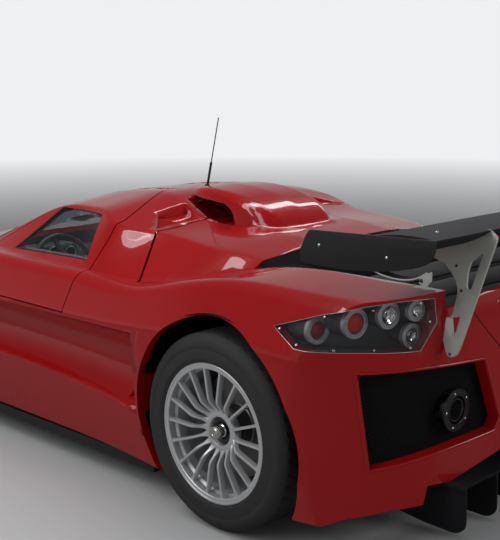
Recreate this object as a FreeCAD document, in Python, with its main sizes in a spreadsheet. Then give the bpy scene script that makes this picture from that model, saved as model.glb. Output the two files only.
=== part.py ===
"""Mid-engined two-seat supercar with gull-wing doors, a roof scoop and a tall rear wing.

Millimetres. +X is forward, +Y is the car's left, +Z is up, and the ground is Z = 0.
The origin is on the ground, midway between the nose and the wing's trailing edge.
"""

import FreeCAD
import Part
import Sketcher

import math
import os

V = FreeCAD.Vector
doc = FreeCAD.newDocument("Supercar")

# Driving dimensions: name, value, what it is.
SIZES = [
    ("wheelbase", 2700, "rear axle to front axle"),
    ("rear_axle_x", -1368, "rear axle's place along the car"),
    ("front_radius", 330, "front tyre's outer radius"),
    ("rear_radius", 360, "rear tyre's outer radius"),
    ("front_width", 255, "front tyre's section width"),
    ("rear_width", 335, "rear tyre's section width"),
    ("front_face_y", 960, "front tyre's outer face from the centre plane"),
    ("rear_face_y", 968, "rear tyre's outer face from the centre plane"),
    ("tyre_shoulder", 32, "radius of a tyre's shoulder"),
    ("rim_radius", 241, "bead seat radius of every rim"),
    ("rim_lip", 13, "height of the rim's flange above its bead seat"),
    ("rim_wall", 9, "thickness of the rim's barrel"),
    ("spoke_count", 18, "spokes in a rim"),
    ("spoke_width", 9, "spoke's width"),
    ("spoke_depth", 26, "spoke's depth along the axle"),
    ("hub_radius", 50, "centre of the spokes"),
    ("disc_radius", 188, "brake disc"),
    ("disc_wall", 32, "brake disc's thickness"),
    ("spindle_radius", 26, "stub axle inside the hub"),
    ("running_fit", 0.05, "radial clearance of a pin or stub axle in its bore"),
    ("seat_gap", 0.3, "gap between pieces that lie on each other"),
    ("front_arch", 368, "front wheel arch's radius"),
    ("rear_arch", 420, "rear wheel arch's radius"),
    ("rear_arch_back", 12, "rear arch's centre behind the axle"),
    ("wall", 32, "thickness of doors and body panels"),
    ("lid_wall", 20, "thickness of the two lids"),
    ("door_gap", 6, "shut line round a door"),
    ("lid_gap", 10, "shut line round a lid"),
    ("glass_wall", 6, "glass thickness"),
    ("floor_low", 85, "underside of the flat floor"),
    ("floor_top", 125, "top of the flat floor, where the body sits"),
    ("skirt_y", 885, "half width of the flat floor between the wheels"),
    ("tub_y", 610, "half width inside the tub"),
    ("tub_top", 655, "height of the tub's side boxes"),
    ("tub_floor", 30, "tub's floor thickness"),
    ("wing_half_span", 842, "half span of the rear wing"),
    ("wing_lead_x", -515, "wing's leading edge from the rear axle"),
    ("wing_chord", 345, "chord of the rear wing"),
    ("endplate_wall", 6, "wing endplate's thickness"),
    ("upright_y", 556, "wing upright from the centre plane"),
    ("upright_wall", 10, "wing upright's thickness"),
    ("upright_lean", 7.1, "degrees by which the uprights' feet stand further out than their tops"),
    ("kingpin_y", 765, "steering axis from the centre plane"),
    ("kingpin_radius", 12, "steering pivot's pin"),
    ("hinge_y", 150, "door hinge line from the centre plane"),
    ("pin_radius", 3, "pins of the door and lid hinges"),
    ("knuckle_radius", 6, "hinge barrels"),
    ("deck_y", 600, "half width of the sunken rear deck"),
    ("louvre_y", 500, "half width of the louvred opening"),
    ("nose_low", 175, "lower edge of the nose"),
    ("tail_low", 268, "lower edge of the tail between its skirts"),
    ("antenna_radius", 2.5, "antenna rod"),
    ("antenna_length", 335, "antenna rod"),
]
sheet = doc.addObject("Spreadsheet::Sheet", "Sizes")
for row, (name, value, note) in enumerate(SIZES, 1):
    sheet.set(f"A{row}", name)
    sheet.set(f"B{row}", str(value))
    sheet.set(f"C{row}", note)
    sheet.setAlias(f"B{row}", name)
doc.recompute()


def size(name):
    return float(sheet.get(name))


REAR_X = size("rear_axle_x")
FRONT_X = REAR_X + size("wheelbase")
WALL = size("wall")


def rear(dx):
    return REAR_X + dx


def front(dx):
    return FRONT_X + dx


# Body sections: station from the axle, (y, z) of sill, low ridge, waist, belt, crest and inner edge, centre z.
REAR_ROWS = [
    (-900, (900, 225), (940, 340), (955, 500), (950, 700), (880, 893), (600, 920), 930),
    (-400, (950, 140), (985, 320), (998, 500), (985, 715), (880, 897), (610, 920), 932),
    (0, (955, 125), (990, 320), (999, 500), (985, 720), (868, 892), (630, 905), 905),
    (230, (940, 125), (975, 325), (985, 500), (980, 700), (880, 862), (720, 862), 850),
    (420, (918, 125), (955, 335), (970, 500), (972, 680), (900, 803), (780, 800), 785),
    (950, (888, 125), (935, 380), (950, 530), (957, 662), (880, 806), (760, 812), 800),
]
FRONT_ROWS = [
    (-1100, (885, 125), (932, 400), (947, 540), (955, 655), (872, 808), (750, 808), 795),
    (-420, (925, 125), (958, 380), (970, 520), (966, 655), (880, 812), (700, 785), 765),
    (0, (940, 125), (975, 320), (985, 490), (974, 685), (865, 792), (630, 722), 705),
    (420, (925, 130), (950, 280), (952, 430), (938, 600), (840, 712), (600, 622), 620),
    (1000, (860, 140), (880, 220), (872, 300), (850, 375), (760, 430), (540, 390), 400),
]
BODY_RADII = (25, 60, 80, 50, 80, 120, 300)
BODY_SECTIONS = 17

# Cabin and deck sections: station from the axle, (y, z) of base and rail, centre z.
CABIN_REAR_ROWS = [
    (-60, (620, 780), (530, 860), 872),
    (200, (700, 790), (566, 903), 938),
    (450, (812, 770), (574, 928), 952),
    (700, (820, 790), (592, 952), 975),
    (850, (822, 805), (668, 972), 1014),
    (1080, (812, 805), (600, 1015), 1062),
]
CABIN_FRONT_ROWS = [
    (-1350, (805, 800), (560, 1012), 1048),
    (-1150, (792, 790), (628, 930), 1003),
    (-950, (770, 775), (708, 834), 930),
    (-800, (700, 735), (640, 770), 865),
    (-540, (560, 670), (430, 700), 735),
]
CABIN_RADII = (12, 12, 45, 400)
CABIN_FOOT = 140
CABIN_SECTIONS = 13
CROWN_SHARE = 0.42

# Hollow of the flank: station, height and y of belt edge, (y, z) of the deepest line, (y, z) of the low ridge.
FLANK_REAR_ROWS = [
    (420, (1002, 662), (868, 510), (975, 345)),
    (950, (985, 645), (850, 520), (950, 380)),
]
FLANK_FRONT_ROWS = [
    (-1100, (975, 638), (852, 525), (945, 395)),
    (-420, (1000, 640), (880, 515), (985, 375)),
]

# Plan curves of tail and nose: x from the axle, y.
TAIL_PLAN = [(-815, 0), (-803, 280), (-745, 530), (-615, 820), (-460, 960), (-300, 1030)]
NOSE_PLAN = [(890, 0), (862, 300), (752, 620), (540, 860), (350, 960), (200, 1010)]

# Hollow behind each side window: plan corners and side line of its floor, x from the rear axle.
RECESS_PLAN = [(887, 451), (894, 276), (747, 336), (756, 560)]
RECESS_FLOOR = [(650, 921), (990, 1005)]

# Well under the roof scoop: plan corners and side line of its floor, x from the rear axle.
WELL_PLAN = [(958, -1), (956, 236), (733, 300), (640, 296), (560, 250), (560, -1)]
WELL_FLOOR = [(500, 950), (720, 955), (870, 963), (940, 1015), (990, 1060)]

# Lower edge of the tail, seen from behind: y, z.
TAIL_FOOT = [(340, 338), (400, 322), (485, 294), (560, 268), (650, 268), (665, 206), (780, 203), (890, 185),
             (960, 146), (1100, 126)]


def eased(xs, ys, x):
    """Shape-keeping cubic through the points (xs, ys), at x."""
    spans = [b - a for a, b in zip(xs, xs[1:])]
    rises = [(b - a) / s for a, b, s in zip(ys, ys[1:], spans)]
    slopes = [rises[0]]
    for a, b, left, right in zip(rises, rises[1:], spans, spans[1:]):
        if a * b <= 0:
            slopes.append(0.0)
        else:
            near, far = 2 * right + left, right + 2 * left
            slopes.append((near + far) / (near / a + far / b))
    slopes.append(rises[-1])
    i = max([j for j in range(len(spans)) if x >= xs[j] - 1e-6] or [0])
    t = (x - xs[i]) / spans[i]
    start = (1 + 2 * t) * (1 - t) ** 2 * ys[i] + t * (1 - t) ** 2 * spans[i] * slopes[i]
    end = t * t * (3 - 2 * t) * ys[i + 1] + t * t * (t - 1) * spans[i] * slopes[i + 1]
    return start + end


def even_sections(rear_rows, front_rows, corners_of, count):
    """Corner lists at evenly spaced stations, eased through the table's rows."""
    rows = [(rear(row[0]), corners_of(row)) for row in rear_rows]
    rows += [(front(row[0]), corners_of(row)) for row in front_rows]
    xs = [x for x, _ in rows]
    sections = []
    for step in range(count):
        x = xs[0] + (xs[-1] - xs[0]) * step / (count - 1)
        corners = []
        for k in range(len(rows[0][1])):
            ys = [corners_at[k][0] for _, corners_at in rows]
            zs = [corners_at[k][1] for _, corners_at in rows]
            corners.append((eased(xs, ys, x), eased(xs, zs, x)))
        sections.append((x, corners))
    return sections


def body_corners(row):
    _, *pairs, middle = row
    return [(0.0, pairs[0][1])] + pairs + [(CROWN_SHARE * pairs[-1][0], middle), (0.0, middle)]


def cabin_corners(row):
    _, base, rail, middle = row
    foot = base[1] - CABIN_FOOT
    return [(0.0, foot), (base[0], foot), base, rail, (CROWN_SHARE * rail[0], middle), (0.0, middle)]


def section_wire(x, corners, radii):
    """Closed half section at x: straight runs with a tangent arc at each corner but the first and last."""
    points = [V(x, y, z) for y, z in corners]
    edges = []
    start = points[0]
    for before, corner, after, radius in zip(points, points[1:], points[2:], radii):
        back = (before - corner).normalize()
        ahead = (after - corner).normalize()
        turn = back.getAngle(ahead)
        room = 0.45 * min((before - corner).Length, (after - corner).Length)
        reach = min(radius / math.tan(turn / 2), room)
        radius = reach * math.tan(turn / 2)
        bisector = (back + ahead).normalize()
        middle = corner + bisector * (radius / math.sin(turn / 2) - radius)
        first, last = corner + back * reach, corner + ahead * reach
        edges.append(Part.LineSegment(start, first).toShape())
        edges.append(Part.Arc(first, middle, last).toShape())
        start = last
    edges.append(Part.LineSegment(start, points[-1]).toShape())
    edges.append(Part.LineSegment(points[-1], points[0]).toShape())
    return Part.Wire(edges)


def inset(corners, depth):
    """The half section moved inwards by depth, its ends kept on the centre plane."""
    moved = [(0.0, corners[0][1] + depth)]
    for before, corner, after in zip(corners, corners[1:], corners[2:]):
        a = V(corner[0] - before[0], corner[1] - before[1], 0).normalize()
        b = V(after[0] - corner[0], after[1] - corner[1], 0).normalize()
        normal_a, normal_b = V(-a.y, a.x, 0), V(-b.y, b.x, 0)
        miter = (normal_a + normal_b).normalize()
        step = depth / miter.dot(normal_a)
        moved.append((corner[0] + miter.x * step, corner[1] + miter.y * step))
    return moved + [(0.0, corners[-1][1] - depth)]


def half_loft(sections, radii, depth, ruled=False):
    wires = []
    for x, corners in sections:
        if depth:
            corners = inset(corners, depth)
        wires.append(section_wire(x, corners, [max(r - depth, 5) for r in radii]))
    return Part.makeLoft(wires, True, ruled)


def block(x0, x1, y0, y1, z0, z1):
    return Part.makeBox(x1 - x0, y1 - y0, z1 - z0, V(x0, y0, z0))


def upright_prism(outline, low, high):
    """Block over a plan outline of (x, y) points."""
    corners = [V(x, y, low) for x, y in outline]
    return Part.Face(Part.makePolygon(corners + corners[:1])).extrude(V(0, 0, high - low))


def cross_prism(outline, low, high):
    """Block over a side outline of (x, z) points, running across the car."""
    corners = [V(x, low, z) for x, z in outline]
    return Part.Face(Part.makePolygon(corners + corners[:1])).extrude(V(0, high - low, 0))


def grown(outline, distance):
    """Closed outline moved outwards by distance."""
    turn = sum(a[0] * b[1] - b[0] * a[1] for a, b in zip(outline, outline[1:] + outline[:1]))
    side = -1.0 if turn > 0 else 1.0
    moved = []
    for before, corner, after in zip(outline[-1:] + outline[:-1], outline, outline[1:] + outline[:1]):
        a = V(corner[0] - before[0], corner[1] - before[1], 0).normalize()
        b = V(after[0] - corner[0], after[1] - corner[1], 0).normalize()
        normal_a, normal_b = V(-a.y, a.x, 0) * side, V(-b.y, b.x, 0) * side
        miter = (normal_a + normal_b).normalize()
        step = distance / max(miter.dot(normal_a), 0.35)
        moved.append((corner[0] + miter.x * step, corner[1] + miter.y * step))
    return moved


def end_prism(plan, axle_x, depth, ahead):
    """Everything within the nose's or tail's plan curve, inset by depth."""
    points = [V(axle_x + x - ahead * depth, y, 0) for x, y in plan]
    curve = Part.BSplineCurve()
    curve.interpolate(Points=points, InitialTangent=V(0, 1, 0), FinalTangent=(points[-1] - points[-2]))
    far = axle_x - ahead * 4200
    rest = [points[-1], V(points[-1].x, 1300, 0), V(far, 1300, 0), V(far, -1, 0), V(points[0].x, -1, 0), points[0]]
    edges = [curve.toShape()] + [Part.LineSegment(a, b).toShape() for a, b in zip(rest, rest[1:])]
    return Part.Face(Part.Wire(edges)).extrude(V(0, 0, 1400))


def mirrored(shape):
    return shape.mirror(V(0, 0, 0), V(0, 1, 0))


def both(shape):
    """The left half joined to its mirror image."""
    return shape.fuse(mirrored(shape)).removeSplitter()


def pair(shape):
    return Part.makeCompound([shape, mirrored(shape)])


def across(x, z, radius, y0, y1):
    return Part.makeCylinder(radius, y1 - y0, V(x, y0, z), V(0, 1, 0))


# Volumes of the left half
BODY = even_sections(REAR_ROWS, FRONT_ROWS, body_corners, BODY_SECTIONS)
CABIN = even_sections(CABIN_REAR_ROWS, CABIN_FRONT_ROWS, cabin_corners, CABIN_SECTIONS)


def flank_cutter(depth):
    """Hollow between belt and low ridge, grown inwards by depth."""
    wires = []
    rows = [(rear(r[0]), r) for r in FLANK_REAR_ROWS] + [(front(r[0]), r) for r in FLANK_FRONT_ROWS]
    for k, (x, (_, belt, deep, ridge)) in enumerate(rows):
        x += (-depth if k == 0 else depth if k == len(rows) - 1 else 0)
        top, low = V(x, belt[0], belt[1] + depth), V(x, ridge[0], ridge[1] - depth)
        bottom = V(x, deep[0] - depth, deep[1])
        far_low, far_top = V(x, 1200, low.z), V(x, 1200, top.z)
        wires.append(Part.Wire([
            Part.Arc(top, bottom, low).toShape(),
            Part.LineSegment(low, far_low).toShape(),
            Part.LineSegment(far_low, far_top).toShape(),
            Part.LineSegment(far_top, top).toShape(),
        ]))
    return Part.makeLoft(wires, True, False)


def deck_well(depth):
    """Space over the sunken rear deck, grown by depth."""
    half = size("deck_y") + depth
    outline = [(rear(50 + depth), 1200), (rear(50 + depth), 905 - depth), (rear(-480), 850 - depth),
               (rear(-1000), 760 - depth), (rear(-1000), 1200)]
    return cross_prism(outline, -1, half)


def sunk(plan, floor, depth):
    """Space over a sloping floor line within a plan outline, grown by depth."""
    outline = [(rear(x), y) for x, y in plan]
    side = [(rear(x), z - depth) for x, z in floor]
    side += [(side[-1][0], 1400), (side[0][0], 1400)]
    return upright_prism(grown(outline, depth), 700, 1400).common(cross_prism(side, -60, 700))


def hull_volume(depth):
    """The car's volume on the left, inset by depth, without the wheel arches."""
    body = half_loft(BODY, BODY_RADII, depth)
    body = body.common(end_prism(TAIL_PLAN, REAR_X, depth, -1))
    body = body.common(end_prism(NOSE_PLAN, FRONT_X, depth, 1))
    cabin = half_loft(CABIN, CABIN_RADII, depth)
    hull = body.fuse(cabin).cut(flank_cutter(depth)).cut(deck_well(depth))
    return hull.cut(sunk(RECESS_PLAN, RECESS_FLOOR, depth)).cut(sunk(WELL_PLAN, WELL_FLOOR, depth))


def arches():
    """Cylinders that open the front and rear wheel arches."""
    well_y = 560
    rear_hole = across(REAR_X - size("rear_arch_back"), size("rear_radius"), size("rear_arch"), well_y, 1200)
    front_hole = across(FRONT_X, size("front_radius"), size("front_arch"), well_y, 1200)
    return rear_hole.fuse(front_hole)


def end_window(outline, x0, x1):
    """Block along the car over an outline of (y, z) points."""
    corners = [V(x0, y, z) for y, z in outline]
    return Part.Face(Part.makePolygon(corners + corners[:1])).extrude(V(x1 - x0, 0, 0))


def top_of(shape, x, y):
    line = Part.makeLine(V(x, y, 300), V(x, y, 1300))
    return shape.common(line).BoundBox.ZMax


# Outer and inner volumes, and the skins between them
outer = hull_volume(0)
inner = hull_volume(WALL)
lid_inner = hull_volume(size("lid_wall"))
skin = outer.cut(inner).cut(arches())
lid_skin = outer.cut(lid_inner)
body_solid = half_loft(BODY, BODY_RADII, 0)

# Plan outlines of doors, lids and windscreen, left half
DOOR_GAP = size("door_gap")
LID_GAP = size("lid_gap")
HINGE_Y = size("hinge_y")
DOOR_PLAN = [
    (rear(880), 1020), (rear(880), 720), (rear(900), 620), (rear(960), 500),
    (rear(1150), HINGE_Y + DOOR_GAP / 2), (front(-1290), HINGE_Y + DOOR_GAP / 2), (front(-1290), 560),
    (front(-1060), 700), (front(-900), 800), (front(-865), 860), (front(-860), 1020),
]
DOOR_LOW = 660
COVER_BACK = rear(160)
COVER_PLAN = [
    (COVER_BACK, -1), (rear(719), -1), (rear(724), 350), (rear(713), 500), (rear(719), 580), (rear(672), 660),
    (rear(574), 806), (rear(400), 790), (rear(300), 750), (rear(210), 690), (COVER_BACK, 560),
]
BONNET_FRONT = front(640)
BONNET_PLAN = [(front(-440), -1), (BONNET_FRONT, -1), (BONNET_FRONT, 300), (front(300), 470), (front(-440), 440)]
SCREEN_PLAN = [
    (front(-1010), -1), (front(-1020), 150), (front(-1130), 380), (front(-1275), 478),
    (front(-1010), 640), (front(-860), 735), (front(-600), 735), (front(-600), -1),
]
WINDOW_SIDE = [(front(-1194), 820), (front(-1306), 996), (rear(1034), 998), (rear(930), 838)]
LAMP_SIDE = [(rear(-290), 793), (rear(-404), 742), (rear(-590), 738), (rear(-672), 731), (rear(-900), 722),
             (rear(-900), 900), (rear(-660), 896), (rear(-600), 886), (rear(-540), 869), (rear(-479), 854)]
LAMP_END = [(1100, 700), (672, 700), (684, 731), (628, 818), (634, 861), (645, 960), (1100, 960)]
MESH_END = [(861, 666), (436, 664), (366, 452), (384, 414), (829, 350)]
GRILLE_END = [(300, 225), (800, 235), (790, 330), (560, 355), (320, 350)]
HEADLAMP_PLAN = [(front(250), 700), (front(250), 850), (front(440), 860), (front(620), 760), (front(600), 640)]

pieces = {}


def keep(label, shape):
    """A piece whose form is a loft or a cut of one."""
    feature = doc.addObject("Part::Feature", label)
    feature.Label = label
    feature.Shape = shape
    pieces[label] = feature
    return feature


seat = size("seat_gap")
above_floor = size("floor_top") + seat
deck_y = size("deck_y")
door_zone = upright_prism(DOOR_PLAN, DOOR_LOW, 1400)
door_hole = upright_prism(grown(DOOR_PLAN, DOOR_GAP), DOOR_LOW - DOOR_GAP, 1400)
cover_zone = upright_prism(COVER_PLAN, 700, 1400)
cover_hole = upright_prism(grown(COVER_PLAN, LID_GAP), 700, 1400)
bonnet_zone = upright_prism(BONNET_PLAN, 450, 1400)
bonnet_hole = upright_prism(grown(BONNET_PLAN, LID_GAP), 450, 1400)
screen_zone = upright_prism(SCREEN_PLAN, 700, 1400)
window_zone = cross_prism(WINDOW_SIDE, 520, 1000)
fixed = skin.cut(door_hole).cut(cover_hole).cut(bonnet_hole)

# Door and lid hinge lines
door_axis_z = top_of(outer, rear(1250), HINGE_Y) + 4
cover_axis = V(COVER_BACK - LID_GAP / 2, 0, top_of(outer, COVER_BACK, 200) + 1)
bonnet_axis = V(BONNET_FRONT + LID_GAP / 2, 0, top_of(outer, BONNET_FRONT, 150) + 1)
KNUCKLE = size("knuckle_radius")
PIN = size("pin_radius")
KNUCKLE_LONG = 30


def hinge(origin, along, outward):
    """Fixed half and moving half of a hinge on a pin, and the room cut for its barrel."""
    middle = KNUCKLE_LONG / 2
    end = middle + seat + KNUCKLE_LONG * 0.8

    def barrel(low, high, radius):
        return Part.makeCylinder(radius, high - low, origin + along * low, along)

    def leg(low, high, side):
        near, far = (3, 24)
        a = origin + along * low + outward * side * near + V(0, 0, -26)
        b = origin + along * high + outward * side * far + V(0, 0, -3)
        return block(min(a.x, b.x), max(a.x, b.x), min(a.y, b.y), max(a.y, b.y), a.z, b.z)

    moving = barrel(-middle, middle, KNUCKLE).fuse(leg(-middle, middle, 1))
    moving = moving.cut(barrel(-end, end, PIN + size("running_fit")))
    still = barrel(-end, end, PIN)
    for low, high in ((-end, -middle - seat), (middle + seat, end)):
        still = still.fuse(barrel(low, high, KNUCKLE)).fuse(leg(low, high, -1))
    room = barrel(-end - 3, end + 3, KNUCKLE + 2.5)
    return still, moving, room


door_still, door_moving, door_room = None, None, None
for x in (rear(1215), front(-1335)):
    parts = hinge(V(x, HINGE_Y, door_axis_z), V(1, 0, 0), V(0, 1, 0))
    if door_still is None:
        door_still, door_moving, door_room = parts
    else:
        door_still, door_moving, door_room = (a.fuse(b) for a, b in zip((door_still, door_moving, door_room), parts))
cover_still, cover_moving, cover_room = hinge(cover_axis + V(0, 300, 0), V(0, 1, 0), V(1, 0, 0))
bonnet_still, bonnet_moving, bonnet_room = hinge(bonnet_axis + V(0, 170, 0), V(0, 1, 0), V(-1, 0, 0))

# Fixed panels
NOSE_SPLIT = front(430)
TAIL_SPLIT = rear(-360)
roof_zone = upright_prism(
    [(rear(569), -1), (rear(569), 806), (rear(640), 830), (front(-780), 830), (front(-780), -1)], 700, 1400)
roof_half = fixed.common(roof_zone).cut(screen_zone).cut(body_solid)
roof_half = roof_half.cut(door_room).fuse(door_still)
keep("roof", both(roof_half))

glass = size("glass_wall")
SCREEN = even_sections(CABIN_REAR_ROWS, CABIN_FRONT_ROWS, cabin_corners, 2 * CABIN_SECTIONS - 1)
SCREEN = [section for section in SCREEN if section[0] > front(-1420)]
screen = half_loft(SCREEN, CABIN_RADII, 2, True).common(screen_zone)
screen = screen.cut(half_loft(SCREEN, CABIN_RADII, 2 + glass, True)).cut(body_solid)
screen = max(screen.Solids, key=lambda solid: solid.Volume)
keep("windscreen", both(screen))

sill_y = 806
sill_zone = block(rear(420), front(-420), sill_y, 1100, above_floor, DOOR_LOW - DOOR_GAP)
side_intake = block(rear(432), rear(505), 790, 1100, 380, 610)
keep("side_sill_left", fixed.common(sill_zone).cut(side_intake))

quarter_zone = block(TAIL_SPLIT, rear(420), deck_y, 1100, 300, 1400)
quarter_zone = quarter_zone.fuse(block(rear(300), rear(420), sill_y, 1100, above_floor, 400))
quarter_zone = quarter_zone.fuse(block(rear(420), rear(900), deck_y, 1100, DOOR_LOW - DOOR_GAP, 1400))
quarter = fixed.common(quarter_zone).cut(roof_zone.cut(body_solid))
lamp_zone = end_window(LAMP_END, rear(-1000), rear(-200)).common(cross_prism(LAMP_SIDE, 560, 1100))
quarter = quarter.cut(lamp_zone)
keep("rear_quarter_left", quarter)

fender_y = 440
fender_zone = block(front(-420), NOSE_SPLIT, fender_y, 1100, 300, 1400)
fender_low_y = 850
fender_zone = fender_zone.fuse(block(front(-420), front(-300), fender_low_y, 1100, above_floor, 400))
fender_zone = fender_zone.fuse(block(front(300), NOSE_SPLIT, fender_low_y, 1100, above_floor, 400))
fender_zone = fender_zone.fuse(block(front(-880), front(-420), fender_y, 1100, DOOR_LOW - DOOR_GAP, 1400))
headlamp_zone = upright_prism(HEADLAMP_PLAN, 450, 900)
fender = fixed.common(fender_zone).cut(roof_zone.cut(body_solid)).cut(screen_zone.cut(body_solid))
fender = fender.cut(headlamp_zone)
keep("front_fender_left", fender)

scuttle = fixed.common(block(front(-700), front(-440), 0, fender_y, 640, 1400)).cut(screen_zone)
keep("scuttle", both(scuttle))

nose_low = size("nose_low")
nose = fixed.common(block(NOSE_SPLIT, front(1000), 0, 1100, nose_low, 1400))
grille_zone = end_window(GRILLE_END, front(560), front(1000))
nose = nose.cut(headlamp_zone).cut(grille_zone).cut(bonnet_room).fuse(bonnet_still)
keep("nose", both(nose))
headlamp = fixed.common(headlamp_zone)
keep("headlamps", pair(headlamp))


def end_plate(plan, axle_x, ahead, window, near, thick):
    """Plate that follows the plan curve at some depth behind a window in the skin."""
    plate = end_prism(plan, axle_x, near, ahead).cut(end_prism(plan, axle_x, near + thick, ahead))
    return plate.common(window)


grille = end_plate(NOSE_PLAN, FRONT_X, 1, grille_zone, 14, 8)

tail_low = size("tail_low")
tail_zone = end_window([(0, 345)] + TAIL_FOOT + [(1100, 1400), (0, 1400)], rear(-900), TAIL_SPLIT)
tail = fixed.common(tail_zone)
mesh_zone = end_window(MESH_END, rear(-1000), rear(-470))
mesh_rim = end_window(grown(MESH_END, 14), rear(-1000), rear(-470))
lamp = fixed.common(lamp_zone)
lamp = max(lamp.Solids, key=lambda solid: solid.Volume)
keep("tail_lamps", pair(lamp))
mesh = end_plate(TAIL_PLAN, REAR_X, -1, mesh_zone, 44, 8)
ledge = end_plate(TAIL_PLAN, REAR_X, -1, mesh_rim, 24, 36).cut(mesh_zone)
PIPE = V(rear(-500), 520, 500)
pipe_length = 232
pipe_outer = Part.makeCylinder(52, pipe_length, PIPE, V(-1, 0, 0))
flange = Part.makeCylinder(74, 10, PIPE + V(-216, 0, 0), V(-1, 0, 0))
pipe_bore = Part.makeCylinder(46, pipe_length - 30, PIPE + V(-30, 0, 0), V(-1, 0, 0))
pipe_room = Part.makeCylinder(74 + seat, 400, PIPE, V(-1, 0, 0))
keep("exhausts", pair(pipe_outer.fuse(flange).cut(pipe_bore)))
keep("grilles", Part.makeCompound([pair(grille), pair(mesh.cut(pipe_room))]))
tail = tail.cut(lamp_zone).cut(mesh_zone).fuse(ledge)
deck_window = block(rear(-300), rear(30), -1, size("louvre_y"), 700, 1200)
deck = fixed.common(block(TAIL_SPLIT, rear(152), 0, deck_y, 760, 1200)).cut(deck_window)
deck = deck.cut(cover_room).fuse(cover_still)
for k in range(8):
    x = rear(-290 + 40 * k)
    z = 868 + 0.104 * (x - rear(-300))
    slat = [(x, z - 24), (x + 4, z - 26), (x + 40, z), (x + 38, z + 3), (x + 34, z + 3)]
    deck = deck.fuse(cross_prism(slat, 0, size("louvre_y") + 1))
keep("deck_louvres", both(deck))

# Rear wing
WING_X = rear(size("wing_lead_x"))
CHORD = size("wing_chord")
lead = V(WING_X, 0, 1080)
trail = V(WING_X - CHORD, 0, 1122)
upper = Part.Arc(lead + V(0, 0, 4), V(WING_X - 0.45 * CHORD, 0, 1121), trail)
lower = Part.Arc(trail + V(2, 0, -6), V(WING_X - 0.42 * CHORD, 0, 1052), lead + V(0, 0, -4))
wing_wire = Part.Wire([
    upper.toShape(),
    Part.LineSegment(trail, trail + V(2, 0, -6)).toShape(),
    lower.toShape(),
    Part.Arc(lead + V(0, 0, -4), lead + V(4, 0, 0), lead + V(0, 0, 4)).toShape(),
])
span = size("wing_half_span")
wing = Part.Face(wing_wire).extrude(V(0, 2 * span, 0))
wing.translate(V(0, -span, 0))
keep("rear_wing", wing)
ENDPLATE = [(-362, 1106), (-345, 1084), (-320, 1032), (-322, 998), (-332, 993), (-505, 993), (-654, 1005),
            (-737, 1020), (-800, 1036), (-838, 1053), (-860, 1085), (-862, 1124)]
plate = cross_prism([(rear(x), z) for x, z in ENDPLATE], span + seat, span + seat + size("endplate_wall"))
keep("wing_endplates", pair(plate))
UPRIGHT = [
    (-599, 1090), (-856, 1124), (-884, 1104), (-885, 1090), (-857, 992), (-829, 888), (-787, 736), (-777, 713),
    (-761, 703), (-745, 703), (-736, 715), (-720, 756), (-694, 812), (-699, 823), (-740, 830), (-748, 843),
    (-756, 889), (-759, 916), (-749, 948), (-730, 971), (-702, 996), (-668, 1008), (-640, 1014), (-606, 1031),
]
UPRIGHT_HOLE = [(-842, 1047), (-831, 1043), (-797, 1014), (-789, 977), (-790, 934), (-800, 925), (-809, 930)]
UPRIGHT_SLOT = [(-750, 830), (-775, 836), (-761, 786)]
stay = cross_prism([(rear(x), z) for x, z in UPRIGHT], -size("upright_wall") / 2, size("upright_wall") / 2)
for hole in (UPRIGHT_HOLE, UPRIGHT_SLOT):
    stay = stay.cut(cross_prism([(rear(x), z) for x, z in hole], -20, 20))
stay.translate(V(0, size("upright_y"), 0))
stay.rotate(V(0, size("upright_y"), 1100), V(1, 0, 0), size("upright_lean"))
stay = max(stay.cut(wing).Solids, key=lambda solid: solid.Volume)
keep("wing_uprights", pair(stay))
tail = tail.cut(stay)
keep("rear_fascia", both(tail))

# Diffuser
roof_low = tail_low - seat - 12
plate = cross_prism([(rear(-330), above_floor - 12), (rear(-640), roof_low), (rear(-800), roof_low),
                     (rear(-800), roof_low + 12), (rear(-640), roof_low + 12), (rear(-330), above_floor)], 0, 585)
for y in (190, 375, 560):
    fin = [(rear(-380), 126), (rear(-520), 104), (rear(-640), 91), (rear(-735), 88), (rear(-782), 97),
           (rear(-800), 122), (rear(-800), roof_low + 6), (rear(-640), roof_low + 6), (rear(-380), 140)]
    plate = plate.fuse(cross_prism(fin, y - 5, y + 5))
keep("diffuser", both(plate))

# Front splitter
splitter = end_prism([(x + 18, y) for x, y in NOSE_PLAN], FRONT_X, 0, 1)
splitter = splitter.common(block(NOSE_SPLIT, front(1100), 0, 940, nose_low - seat - 15, nose_low - seat))
splitter = splitter.fuse(block(front(510), front(640), 0, 520, above_floor, nose_low - seat - 15))
keep("front_splitter", both(splitter))

# Doors, glass and lids
door = skin.common(door_zone).cut(window_zone).cut(door_room).fuse(door_moving)
keep("door_left", door)
pane = half_loft(CABIN, CABIN_RADII, 4).common(window_zone).cut(half_loft(CABIN, CABIN_RADII, 4 + glass))
pane = max(pane.Solids, key=lambda solid: solid.Volume)
keep("door_glass_left", pane)
bonnet = lid_skin.common(bonnet_zone).cut(bonnet_room).fuse(bonnet_moving)
keep("bonnet", both(bonnet))

SCOOP_ROWS = [(405, 150, 930), (520, 225, 1030), (680, 250, 1078), (850, 242, 1094), (985, 205, 1084)]
SCOOP_WALL = 7


def scoop_volume(depth):
    wires = []
    for k, (dx, half, top) in enumerate(SCOOP_ROWS):
        x = rear(dx + (2 if k == 4 and depth else 0) + (depth if k == 0 else 0))
        corners = [(0, 900), (half - depth, 900), (0.84 * half - depth, top - depth - 8), (0, top - depth)]
        wires.append(section_wire(x, corners, (10, 60)))
    return Part.makeLoft(wires, True, False)


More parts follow.
